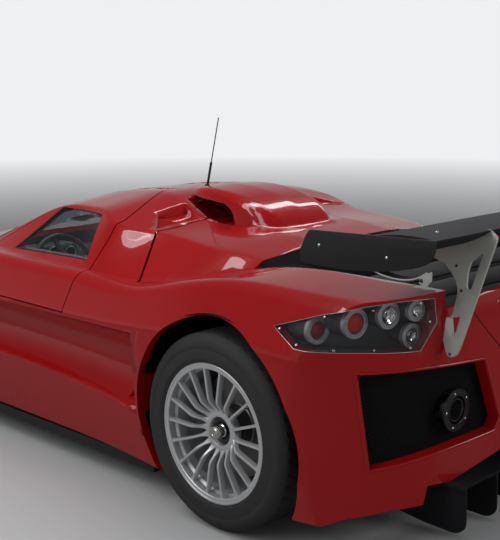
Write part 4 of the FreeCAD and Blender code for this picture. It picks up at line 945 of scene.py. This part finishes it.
def lattice(name, way):
    # crossed thin bars over a convex outline of (y, z): lines z = slope * y + offset, each cut to the stretch
    # that is inside every edge of the outline, and carried over the plate behind it
    depthAt, polygon = plateDepth(way), np.array(bars[name])
    edge = np.roll(polygon, -1, 0) - polygon
    inward = np.stack((-edge[:, 1], edge[:, 0]), -1)
    inward *= np.sign(((polygon.mean(0) - polygon) * inward).sum(1))[:, None]
    deep = np.array((way * bars["deep"], 0, 0))
    shapes = []
    for layer, slope in enumerate((bars["slope"], -bars["slope"])):
        offsets = polygon[:, 1] - slope * polygon[:, 0]
        offset = np.arange(offsets.min() + bars["pitch"] / 2, offsets.max(), bars["pitch"])
        rate = inward @ np.array((1.0, slope))
        start = np.stack((0 * offset, offset), -1)
        reach = ((polygon[None] - start[:, None]) * inward[None]).sum(-1) / rate[None]
        low = np.where(rate > 0, reach, -np.inf).max(1)
        high = np.where(rate < 0, reach, np.inf).min(1)
        inside = high - low > bars["shortest"]
        offset, low, high = offset[inside, None], low[inside, None], high[inside, None]
        y = low + (high - low) * np.linspace(0, 1, bars["steps"])
        lines = np.stack((depthAt(y), y, slope * y + offset), -1) + deep * layer
        sideways = unit((0, -slope, 1)) * bars["half"]
        shapes += [carried(line, ((-1, 0), (1, 0), (1, 1), (-1, 1)), sideways, deep) for line in lines]
    made(f"{name}Mesh", mirrored(joined(shapes)), "mesh", crease=40)


lattice("outlet", -1)
lattice("intake", 1)


# exhausts: a flange with bolts, a pipe with a coupling ring, and a darker liner, each turned about the pipe's
# line
exhaust = {
    "face": (-0.716, 0.52, 0.5), "bolts": 5, "boltTurn": 0.2, "boltRadius": 0.0605, "thick": 0.0098,
    "flange": ((0.0735, 0), (0.0735, 0.0075), (0.072, 0.0095), (0.058, 0.0098), (0.049, 0.0098),
               (0.0475, 0.008), (0.0465, 0.002), (0.0465, -0.2), (0.0505, -0.2), (0.051, -0.062),
               (0.0575, -0.061), (0.0585, -0.0595), (0.0585, -0.0515), (0.0575, -0.05), (0.0515, -0.049),
               (0.0515, 0)),
    "liner": ((0.036, 0.0045), (0.0366, 0.006), (0.0388, 0.006), (0.0394, 0.0045), (0.0394, -0.2),
              (0.036, -0.2)),
}


def exhausts():
    # a bolt stands at centre + radius * (0, sin a, cos a) on its flange
    centres = [fromRear(exhaust["face"]) * (1, side, 1) for _, side in sides]
    ways = circle(exhaust["bolts"], exhaust["boltTurn"]) @ ((0, 0, 1), (0, 1, 0))
    flanges, liners = ([turned(exhaust[key], count, centre, (-1, 0, 0)) for centre in centres]
                       for key, count in (("flange", 72), ("liner", 56)))
    spots = [centre + exhaust["boltRadius"] * ways - (exhaust["thick"], 0, 0) for centre in centres]
    made("exhaustFlanges", joined(flanges), "titanium", "body", ("exhausts",))
    made("exhaustLiners", joined(liners), "disc")
    made("exhaustBolts", domes(np.concatenate(spots), (-1, 0, 0), 0.005, 0.6), "screw")


exhausts()
print("outlets and exhausts placed")


# rear wing: plane, end plates, uprights and the lower flap, with their screws
wing = {
    "plateAt": 0.8452, "plateThick": 0.006, "plate": (
        (-0.362, 1.106), (-0.345, 1.084), (-0.32, 1.032), (-0.322, 0.998), (-0.332, 0.993), (-0.505, 0.993),
        (-0.654, 1.005), (-0.737, 1.02), (-0.8, 1.036), (-0.838, 1.053), (-0.86, 1.085), (-0.862, 1.124)),
    "uprightAt": 0.556, "uprightThick": 0.01, "lean": 7.1, "leanFrom": 1.1,
    "plateBevel": 0.001, "uprightBevel": 0.0008, "tabBevel": 0.0006, "upright": (
        (-0.599, 1.09), (-0.856, 1.124), (-0.884, 1.104), (-0.885, 1.09), (-0.857, 0.992), (-0.829, 0.888),
        (-0.787, 0.736), (-0.777, 0.713), (-0.761, 0.703), (-0.745, 0.703), (-0.736, 0.715), (-0.72, 0.756),
        (-0.694, 0.812), (-0.699, 0.823), (-0.74, 0.83), (-0.748, 0.843), (-0.756, 0.889), (-0.759, 0.916),
        (-0.749, 0.948), (-0.73, 0.971), (-0.702, 0.996), (-0.668, 1.008), (-0.64, 1.014), (-0.606, 1.031)),
    "hole": ((-0.842, 1.047), (-0.831, 1.043), (-0.797, 1.014), (-0.789, 0.977), (-0.79, 0.934),
             (-0.8, 0.925), (-0.809, 0.93)),
    "slot": ((-0.745, 0.829), (-0.778, 0.837), (-0.768, 0.79), (-0.757, 0.77)),
    "uprightBolts": ((-0.745, 0.996), (-0.772, 0.92), (-0.7, 0.818), (-0.752, 0.712)),
    "plateBolts": ((-0.405, 1.06), (-0.681, 1.052)),
    "flap": ((-0.54, 1.045), (-0.585, 1.018), (-0.635, 0.999), (-0.69, 0.989), (-0.745, 0.9895), (-0.79, 1.0),
             (-0.83, 1.022)),
    "flapThick": 0.0045, "flapEnd": 0.8405, "flapWide": 0.042,
    "tab": ((-0.8, 1.008), (-0.846, 1.03), (-0.846, 1.0), (-0.836, 0.993), (-0.828, 0.979), (-0.82, 0.979),
            (-0.8, 0.988)),
    "tabAt": 0.841, "tabThick": 0.003, "tabBolt": (-0.808, 0.998), "edgeRadius": 0.0028,
    "topScrews": ((-0.778, 0.727, 1.4), (-0.6, 0.56, 1.4)), "flapSteps": 41,
    "corner": {"plate": 0.012, "upright": 0.006, "hole": 0.006, "slot": 0.003, "tab": 0.004},
    # each screw head's radius and how high it is domed
    "uprightHead": (0.0052, 0.5), "plateHead": (0.0058, 0.55), "tabHead": (0.007, 0.6),
    "topHead": (0.0055, 0.4),
}
# stands a flat outline up along the car
standing = Matrix(((1, 0, 0, 0), (0, 0, -1, 0), (0, 1, 0, 0), (0, 0, 0, 1)))


def outlines(*names):
    # the named outlines of the wing's plates, each with its own corner radius
    return [eased(wing[name], wing["corner"][name]) for name in names]


def wingPieces():
    # plates stand on edge along the car; an upright leans inwards about a line at leanFrom
    copied("wingPlane", "rear_wing", "wing", "body", 25)
    for sideName, side in sides:
        plateOf(f"wingEndplate_{sideName}", outlines("plate"), wing["plateThick"], wing["plateBevel"],
                standing,
                (rearAxle, side * wing["plateAt"], 0), "endplate", ("wing_endplates",))
        foot = Vector((0, side * wing["uprightAt"], wing["leanFrom"]))
        lean = Matrix.Rotation(side * math.radians(wing["lean"]), 4, "X")
        turn = Matrix.Translation(foot) @ lean @ Matrix.Translation((0, 0, -wing["leanFrom"])) @ standing
        plateOf(f"wingUpright_{sideName}", outlines("upright", "hole", "slot"), wing["uprightThick"],
                wing["uprightBevel"], turn, (rearAxle, 0, 0), "aluminium", ("wing_uprights",))
        spots = [turn @ Vector((x, z, -side * wing["uprightThick"] / 2)) for x, z in wing["uprightBolts"]]
        out = turn.to_3x3() @ Vector((0, 0, -side))
        made(f"uprightBolts_{sideName}", domes(fromRear(spots), out, *wing["uprightHead"]), "nut")
        spots = [(x, side * (wing["plateAt"] + wing["plateThick"] / 2), z) for x, z in wing["plateBolts"]]
        made(f"endplateBolts_{sideName}", domes(fromRear(spots), (0, side, 0), *wing["plateHead"]), "screw")
        plateOf(f"flapTab_{sideName}", outlines("tab"), wing["tabThick"], wing["tabBevel"], standing,
                (rearAxle, side * wing["tabAt"], 0), "aluminium")
        x, z = wing["tabBolt"]
        spots = [(x, side * (wing["tabAt"] + wing["tabThick"] / 2), z)]
        made(f"tabBolt_{sideName}", domes(fromRear(spots), (0, side, 0), *wing["tabHead"]), "nut")
    # the flap: a smooth line, thickened below it, over a short stretch at each end of the wing
    path = throughPoints(wing["flap"], wing["flapSteps"])
    ahead = unit(np.gradient(path, axis=0))
    below = np.stack((ahead[:, 1], -ahead[:, 0]), -1) * wing["flapThick"]
    for sideName, side in sides:
        middle = side * (wing["flapEnd"] - wing["flapWide"] / 2)
        flap = acrossCar(np.concatenate((path, (path + below)[::-1])), wing["flapWide"] / 2, middle)
        made(f"wingFlap_{sideName}", flap, "endplate")
    edge = fromRear(np.insert(path + below / 2, 1, wing["flapEnd"], 1))
    made("flapEdges", tubes(edge, wing["edgeRadius"], 8), "aluminium", crease=40)
    spots = fromRear([(x, y * side, z) for x, y, z in wing["topScrews"] for _, side in sides])
    places, normals = landed("rear_wing", spots, [(0, 0, -1)] * len(spots))
    made("wingScrews", domes(places, normals, *wing["topHead"]), "screw")


wingPieces()
print("wing placed")


# rear deck: a lip along the tail's plan, a dark tray ahead of it, two wide slats over the tray, and the
# middle panel's shut line with its rivets
deck = {
    "lipHalf": 0.612, "lipSteps": 49, "lipFoot": 0.752, "lipThick": 0.014, "lipFloor": 0.8,
    "lipTop": ((0, 0.908), (0.35, 0.905), (0.44, 0.898), (0.585, 0.86), (0.62, 0.856)),
    "slats": ((-0.575, 0.906), (-0.385, 0.914)), "slatHalf": 0.585,
    # a slat's section from its front edge: the top back to the rear edge, then the underside forward
    "slat": ((0, 0), (-0.03, -0.0025), (-0.08, -0.018), (-0.092, -0.024), (-0.092, -0.03), (-0.08, -0.0235),
             (-0.03, -0.0075), (0, -0.0045)),
    "trayRise": 0.0022, "trayThick": 0.0015,
    "panelLine": ((0.535, 0.872), (0.49, 0.836), (0.43, 0.766), (0.345, 0.672), (0.31, 0.61), (0.3, 0.5),
                  (0.31, 0.34)),
    "lineRadius": 0.0016, "lineSteps": 60, "rivetHead": (0.0042, 0.45), "rivetOut": 0.0006,
    "rivets": ((0.385, 0.857), (0.36, 0.796), (0.327, 0.73), (0.2, 0.87), (0.0, 0.875)), "rollRadius": 0.0052,
    "rollIn": 0.002, "rollSteps": 24, "planHeight": 0.695, "planFrom": -1.2,
}


def onTail(line, inwards=0.0):
    # points of (y, z) laid on the tail's skin, which stands upright: its plan is read just above the outlets
    line = np.asarray(line, float)
    starts = fromRear([(deck["planFrom"], y, deck["planHeight"]) for y in line[:, 0]])
    plan = landed("rear_fascia", starts, [(1, 0, 0)] * len(starts))[0][:, 0]
    return np.insert(line, 0, plan + inwards, 1)


def deckPieces():
    # lip: its section carried along the tail's plan, its top following a line over |y|; slats: sections run
    # across
    y = np.linspace(-deck["lipHalf"], deck["lipHalf"], deck["lipSteps"])
    path = onTail(np.stack((y, 0 * y), -1))
    top = np.interp(np.abs(y), *np.array(deck["lipTop"]).T)
    foot, floor, thick = 0 * top + deck["lipFoot"], 0 * top + deck["lipFloor"], deck["lipThick"]
    section = np.stack([np.stack((0 * top + forward, height), -1) for forward, height in (
        (0.002, foot), (-0.0004, foot + 0.02), (-0.0004, top - 0.009), (0.0012, top - 0.0035),
        (0.0045, top - 0.0004), (thick - 0.0045, top), (thick - 0.0012, top - 0.0035), (thick, top - 0.009),
        (thick, floor), (thick, foot))], 1)
    made("rearLip", carried(path, section, (1, 0, 0), (0, 0, 1)), "paint", crease=40)
    points, faces, normals = nodeShape("rear_fascia")
    middles = points[faces].mean(1)
    y, z = np.abs(middles[:, 1]), middles[:, 2]
    flat = (normals[:, 2] > 0.7) & (z > 0.78) & (z < 0.885) & (y < 0.6)
    some, kept = facesOf(points, faces, flat)
    tray = shelled(some + (0, 0, deck["trayRise"]), kept, np.array((0, 0, -deck["trayThick"])))
    made("deckTray", tray, "inside")
    slats = [acrossCar(np.array(deck["slat"]) + place, deck["slatHalf"]) for place in deck["slats"]]
    made("deckSlats", joined(slats), "slat")
    line = onTail(throughPoints(deck["panelLine"], deck["lineSteps"]))
    made("panelLine", tubes(line, deck["lineRadius"], 8), "inside", crease=40)
    rivets = domes(onTail(deck["rivets"], -deck["rivetOut"]), (-1, 0, 0), *deck["rivetHead"])
    made("panelRivets", mirrored(rivets), "screw")
    rim, t = np.array(bars["outlet"]), np.linspace(0, 1, deck["rollSteps"], endpoint=False)[:, None]
    sampled = np.concatenate([start + (end - start) * t for start, end in zip(rim, np.roll(rim, -1, 0))])
    rolls = tubes(onTail(sampled, deck["rollIn"]), deck["rollRadius"], 10, True)
    made("outletRolls", rolls, "paint", crease=50)


deckPieces()
print("rear deck placed")


# seals round the glass, and the glass as merged copies
for node, body, way in (("door_glass_left", "left_door", (0, 1, 0)),
                        ("door_glass_right", "right_door", (0, -1, 0)),
                        ("windscreen", "body", (1, 0, 0.6))):
    points, faces, normals = nodeShape(node)
    some, kept = facesOf(points, faces, normals @ np.array(way) > 0.25)
    beaded(f"seal_{node}", some, openEdges(kept), 0.0045, "seal", body)
    copied(f"pane_{node}", node, "glass", body, 25)
print("glass sealed")


# wheel arch liners: an arc of a cylinder over each wheel, with an inner wall down to the axle's height
liners = {"rear": (-0.012, 0.36, 0.4255, 0.602, 0.95), "front": (2.7, 0.33, 0.4035, 0.502, 0.925),
          "wall": 0.002,
          "axleGap": 0.14, "from": -0.25, "to": 3.39, "steps": 48}


def archLiners():
    # points at radius r and angle a: (x + r cos a, y, z + r sin a); the section runs out along y, then in to
    # the wall
    spoke = fromAxle(np.linspace(liners["from"], liners["to"], liners["steps"]))
    wall, gap = liners["wall"], liners["axleGap"]
    for end in ("rear", "front"):
        x, z, radius, inner, outer = liners[end]
        section = ((radius, outer), (radius + wall, outer), (radius + wall, inner - wall),
                   (gap, inner - wall),
                   (gap, inner), (radius, inner))
        path = np.broadcast_to(fromRear((x, 0, z)), spoke.shape)
        for sideName, side in sides:
            made(f"archLiner_{end}_{sideName}", carried(path, section, spoke, (0, side, 0)), "inside")


archLiners()
print("arch liners placed")


# diffuser: a bent plate and six fins with rounded lower corners
diffuser = {
    "half": 0.585, "finAt": (0.19, 0.375, 0.56), "finThick": 0.009, "finCorner": 0.024, "finBevel": 0.0008,
    "plate": ((-0.33, 0.1135), (-0.64, 0.2560), (-0.8, 0.2560), (-0.8, 0.2675), (-0.64, 0.2675),
              (-0.33, 0.125)),
    "fin": ((-0.38, 0.126), (-0.52, 0.104), (-0.64, 0.091), (-0.765, 0.0882), (-0.7985, 0.114),
            (-0.7985, 0.262), (-0.64, 0.262), (-0.38, 0.14)),
}


def diffuserPieces():
    # the plate's section runs straight across; the fins are flat plates that stand along the car
    made("diffuserPlate", acrossCar(diffuser["plate"], diffuser["half"]), "slat", "body", ("diffuser",), 20)
    fin = [eased(diffuser["fin"], diffuser["finCorner"])]
    for k, y in enumerate(diffuser["finAt"]):
        for sideName, side in sides:
            plateOf(f"diffuserFin_{k}_{sideName}", fin, diffuser["finThick"], diffuser["finBevel"], standing,
                    (rearAxle, side * y, 0), "slat", ("diffuser",))


diffuserPieces()
headlamps()
print("diffuser and headlamps placed")


# seats: a carbon shell each, and sewn pads blown up by the cloth simulation on the left seat, copied to the
# right
seat = {
    "y": 0.36, "voxel": 0.008, "pressure": 4.0, "cap": 0.012, "frames": 20,
    # pad: middle from the rear axle, half length, half width, half thickness, tilt about the car's cross
    # axis, channels
    "pads": {"Back": ((0.792, 0.36, 0.525), 0.2, 0.132, 0.026, 74.5, 0.062),
             "Squab": ((1.115, 0.36, 0.262), 0.195, 0.132, 0.03, -6.0, 0.07),
             "Head": ((0.765, 0.36, 0.722), 0.04, 0.075, 0.02, 76.0, 0.0)},
    "channelDepth": 0.0045, "channelHalf": 0.006, "edge": 0.02,
}


def blownUp(piece):
    # the cloth recipe: remesh, pressure with gravity off, steps 1 to 20, movement capped, one subdivision
    selected(piece)
    remesh = piece.modifiers.new("remesh", "REMESH")
    remesh.mode, remesh.voxel_size = "VOXEL", seat["voxel"]
    bpy.ops.object.modifier_apply(modifier="remesh")
    start = pointsOf(piece.data)
    cloth = piece.modifiers.new("cloth", "CLOTH")
    cloth.settings.use_pressure, cloth.settings.uniform_pressure_force = True, seat["pressure"]
    cloth.settings.effector_weights.gravity = 0
    cloth.point_cache.frame_start, cloth.point_cache.frame_end = 1, seat["frames"]
    for step in range(1, seat["frames"] + 1):
        bpy.context.scene.frame_set(step)
    bpy.ops.object.modifier_apply(modifier="cloth")
    move = pointsOf(piece.data) - start
    move *= np.minimum(1, seat["cap"] / np.maximum(np.linalg.norm(move, axis=1)[:, None], 1e-9))
    setPoints(piece.data, start + move)
    bpy.context.scene.frame_set(1)
    finer = piece.modifiers.new("finer", "SUBSURF")
    finer.levels = finer.render_levels = 1
    bpy.ops.object.modifier_apply(modifier="finer")


def seatPads():
    # each pad lies flat while it is blown up and sewn; then it is tilted, put in its seat, and copied across
    for padName, (place, length, width, thick, tilt, spacing) in seat["pads"].items():
        flat = roundedBox((-length, -width, -thick), (length, width, thick), min(thick, 0.022), 8)
        piece = placed(f"seat{padName}_left", meshOf(f"seatPad{padName}", *flat))
        cleaned(piece.data, piece.data, 1e-5, outward=True)
        blownUp(piece)
        points = pointsOf(piece.data).astype(float)
        if spacing:
            # sewn channels: a dip of exp(-(distance to the nearest seam / half width) squared) in the upper
            # side
            off = np.abs((points[:, 0] / spacing + 0.5) % 1.0 - 0.5) * spacing
            dip = np.exp(-(off / seat["channelHalf"]) ** 2) * seat["channelDepth"]
            edge = np.clip((width - seat["edge"] - np.abs(points[:, 1])) / seat["edge"], 0, 1)
            points[:, 2] -= dip * np.clip(points[:, 2] / thick, 0, 1) * edge
        angle = math.radians(tilt)
        turn = np.array(((math.cos(angle), 0, math.sin(angle)), (0, 1, 0),
                         (-math.sin(angle), 0, math.cos(angle))))
        points = points @ turn.T + fromRear(place)
        setPoints(piece.data, points)
        other = placed(f"seat{padName}_right", piece.data.copy())
        setPoints(other.data, points - (0, 2 * seat["y"], 0))
        for pad in (piece, other):
            finished(pad, "leather", "body", (), True, 60)


copied("seatShells", "seats", "carbon", "body", 30)
seatPads()
print("seats placed")


# cabin: dashboard with a binnacle, dials and vents, a middle console, the wheel's hub pad and the mirrors'
# glass
cabin = {
    "dash": ((2.098, 0.541), (2.098, 0.672), (2.06, 0.6885), (1.95, 0.69), (1.902, 0.684), (1.874, 0.664),
             (1.866, 0.632), (1.872, 0.602), (1.893, 0.577), (1.912, 0.545)),
    "half": 0.598, "binnacle": ((1.802, 0.21, 0.652), (1.94, 0.51, 0.744)),
    "dials": ((1.8005, 0.268, 0.698, 0.034), (1.8005, 0.36, 0.7, 0.041), (1.8005, 0.452, 0.698, 0.034)),
    "vents": ((1.8675, 0.545, 0.635, 0.032), (1.8675, 0.11, 0.635, 0.032)),
    "screen": ((1.8625, -0.062, 0.607), (1.876, 0.062, 0.664)),
    "console": ((0.98, -0.074, 0.157), (1.93, 0.074, 0.352)),
    "panel": ((1.2, -0.05, 0.345), (1.86, 0.05, 0.357)),
    "lever": ((1.55, 0, 0.35), (1.545, 0, 0.4), (1.535, 0, 0.452)), "hub": (1.7115, 0.36, 0.6415),
    "mirror": ((-0.803, 0.817, 0.822), (-0.797, 0.958, 0.884)),
    # along the dashboard's width, how far its section is drawn in towards its middle
    "ends": ((-1, 0.9), (-0.993, 0.96), (-0.98, 1), (0.98, 1), (0.993, 0.96), (1, 0.9)), "wheelTilt": 68,
    "hubPad": ((0, 0.032), (0.028, 0.031), (0.04, 0.026), (0.046, 0.016), (0.047, 0.002),
                                (0, 0.002)),
}


def relative(box, radius):
    # a rounded box from its corners behind and ahead of the rear axle
    return roundedBox(*fromRear(box), radius)


def cabinPieces():
    # a dial is a rim and a face turned about the way back; the dashboard's section is carried across the car;
    # its last rows shrink towards the section's middle
    section, rows = np.array(cabin["dash"]), np.array(cabin["ends"])
    middle = section.mean(0)
    path = fromRear(np.outer(rows[:, 0] * cabin["half"], (0, 1, 0)))
    sections = middle + (section - middle) * rows[:, 1][:, None, None]
    top = carried(path, sections, (1, 0, 0), (0, 0, 1))
    made("dashTop", joined([top, relative(cabin["binnacle"], 0.028)]), "dash", "body", ("dashboard",), 40)
    rims, faces = [], []
    vents = [(x, y * side, z, radius) for x, y, z, radius in cabin["vents"] for _, side in sides]
    for x, y, z, radius in (*cabin["dials"], *vents):
        centre, inner = fromRear((x, y, z)), radius - 0.0055
        rim = [(radius, -0.004), (radius, 0.003), (radius - 0.002, 0.0045), (radius - 0.005, 0.003),
               (inner, -0.004)]
        rims.append(turned(rim, 40, centre, (-1, 0, 0)))
        faces.append(turned([(0, -0.001), (inner, -0.001), (inner, -0.004), (0, -0.004)], 40, centre,
                            (-1, 0, 0)))
    made("dialRims", joined(rims), "silver")
    made("dialFaces", joined(faces), "dial")
    made("dashScreen", relative(cabin["screen"], 0.004), "dial")
    made("consoleCover", relative(cabin["console"], 0.03), "dash", crease=40)
    made("consolePanel", relative(cabin["panel"], 0.005), "carbon")
    made("gearLever", tube(fromRear(cabin["lever"]), 0.005), "steel")
    bow = np.linspace(-np.pi / 2, np.pi / 2, 13)
    ball = np.stack((0.021 * np.cos(bow), 0.024 * np.sin(bow)), -1)
    made("gearKnob", turned(ball, 32, fromRear(cabin["lever"][-1]), (0, 0, 1), False), "silver", crease=60)
    tilt = math.radians(cabin["wheelTilt"])
    pad = turned(cabin["hubPad"], 48, fromRear(cabin["hub"]), (-math.sin(tilt), 0, math.cos(tilt)))
    made("wheelPad", pad, "dash", crease=40)
    for sideName, side in sides:
        ends = (np.array(cabin["mirror"]) + (frontAxle, 0, 0)) * (1, side, 1)
        made(f"mirrorGlass_{sideName}", roundedBox(ends.min(0), ends.max(0), 0.0029, 4), "mirror")


cabinPieces()
print("cabin placed")
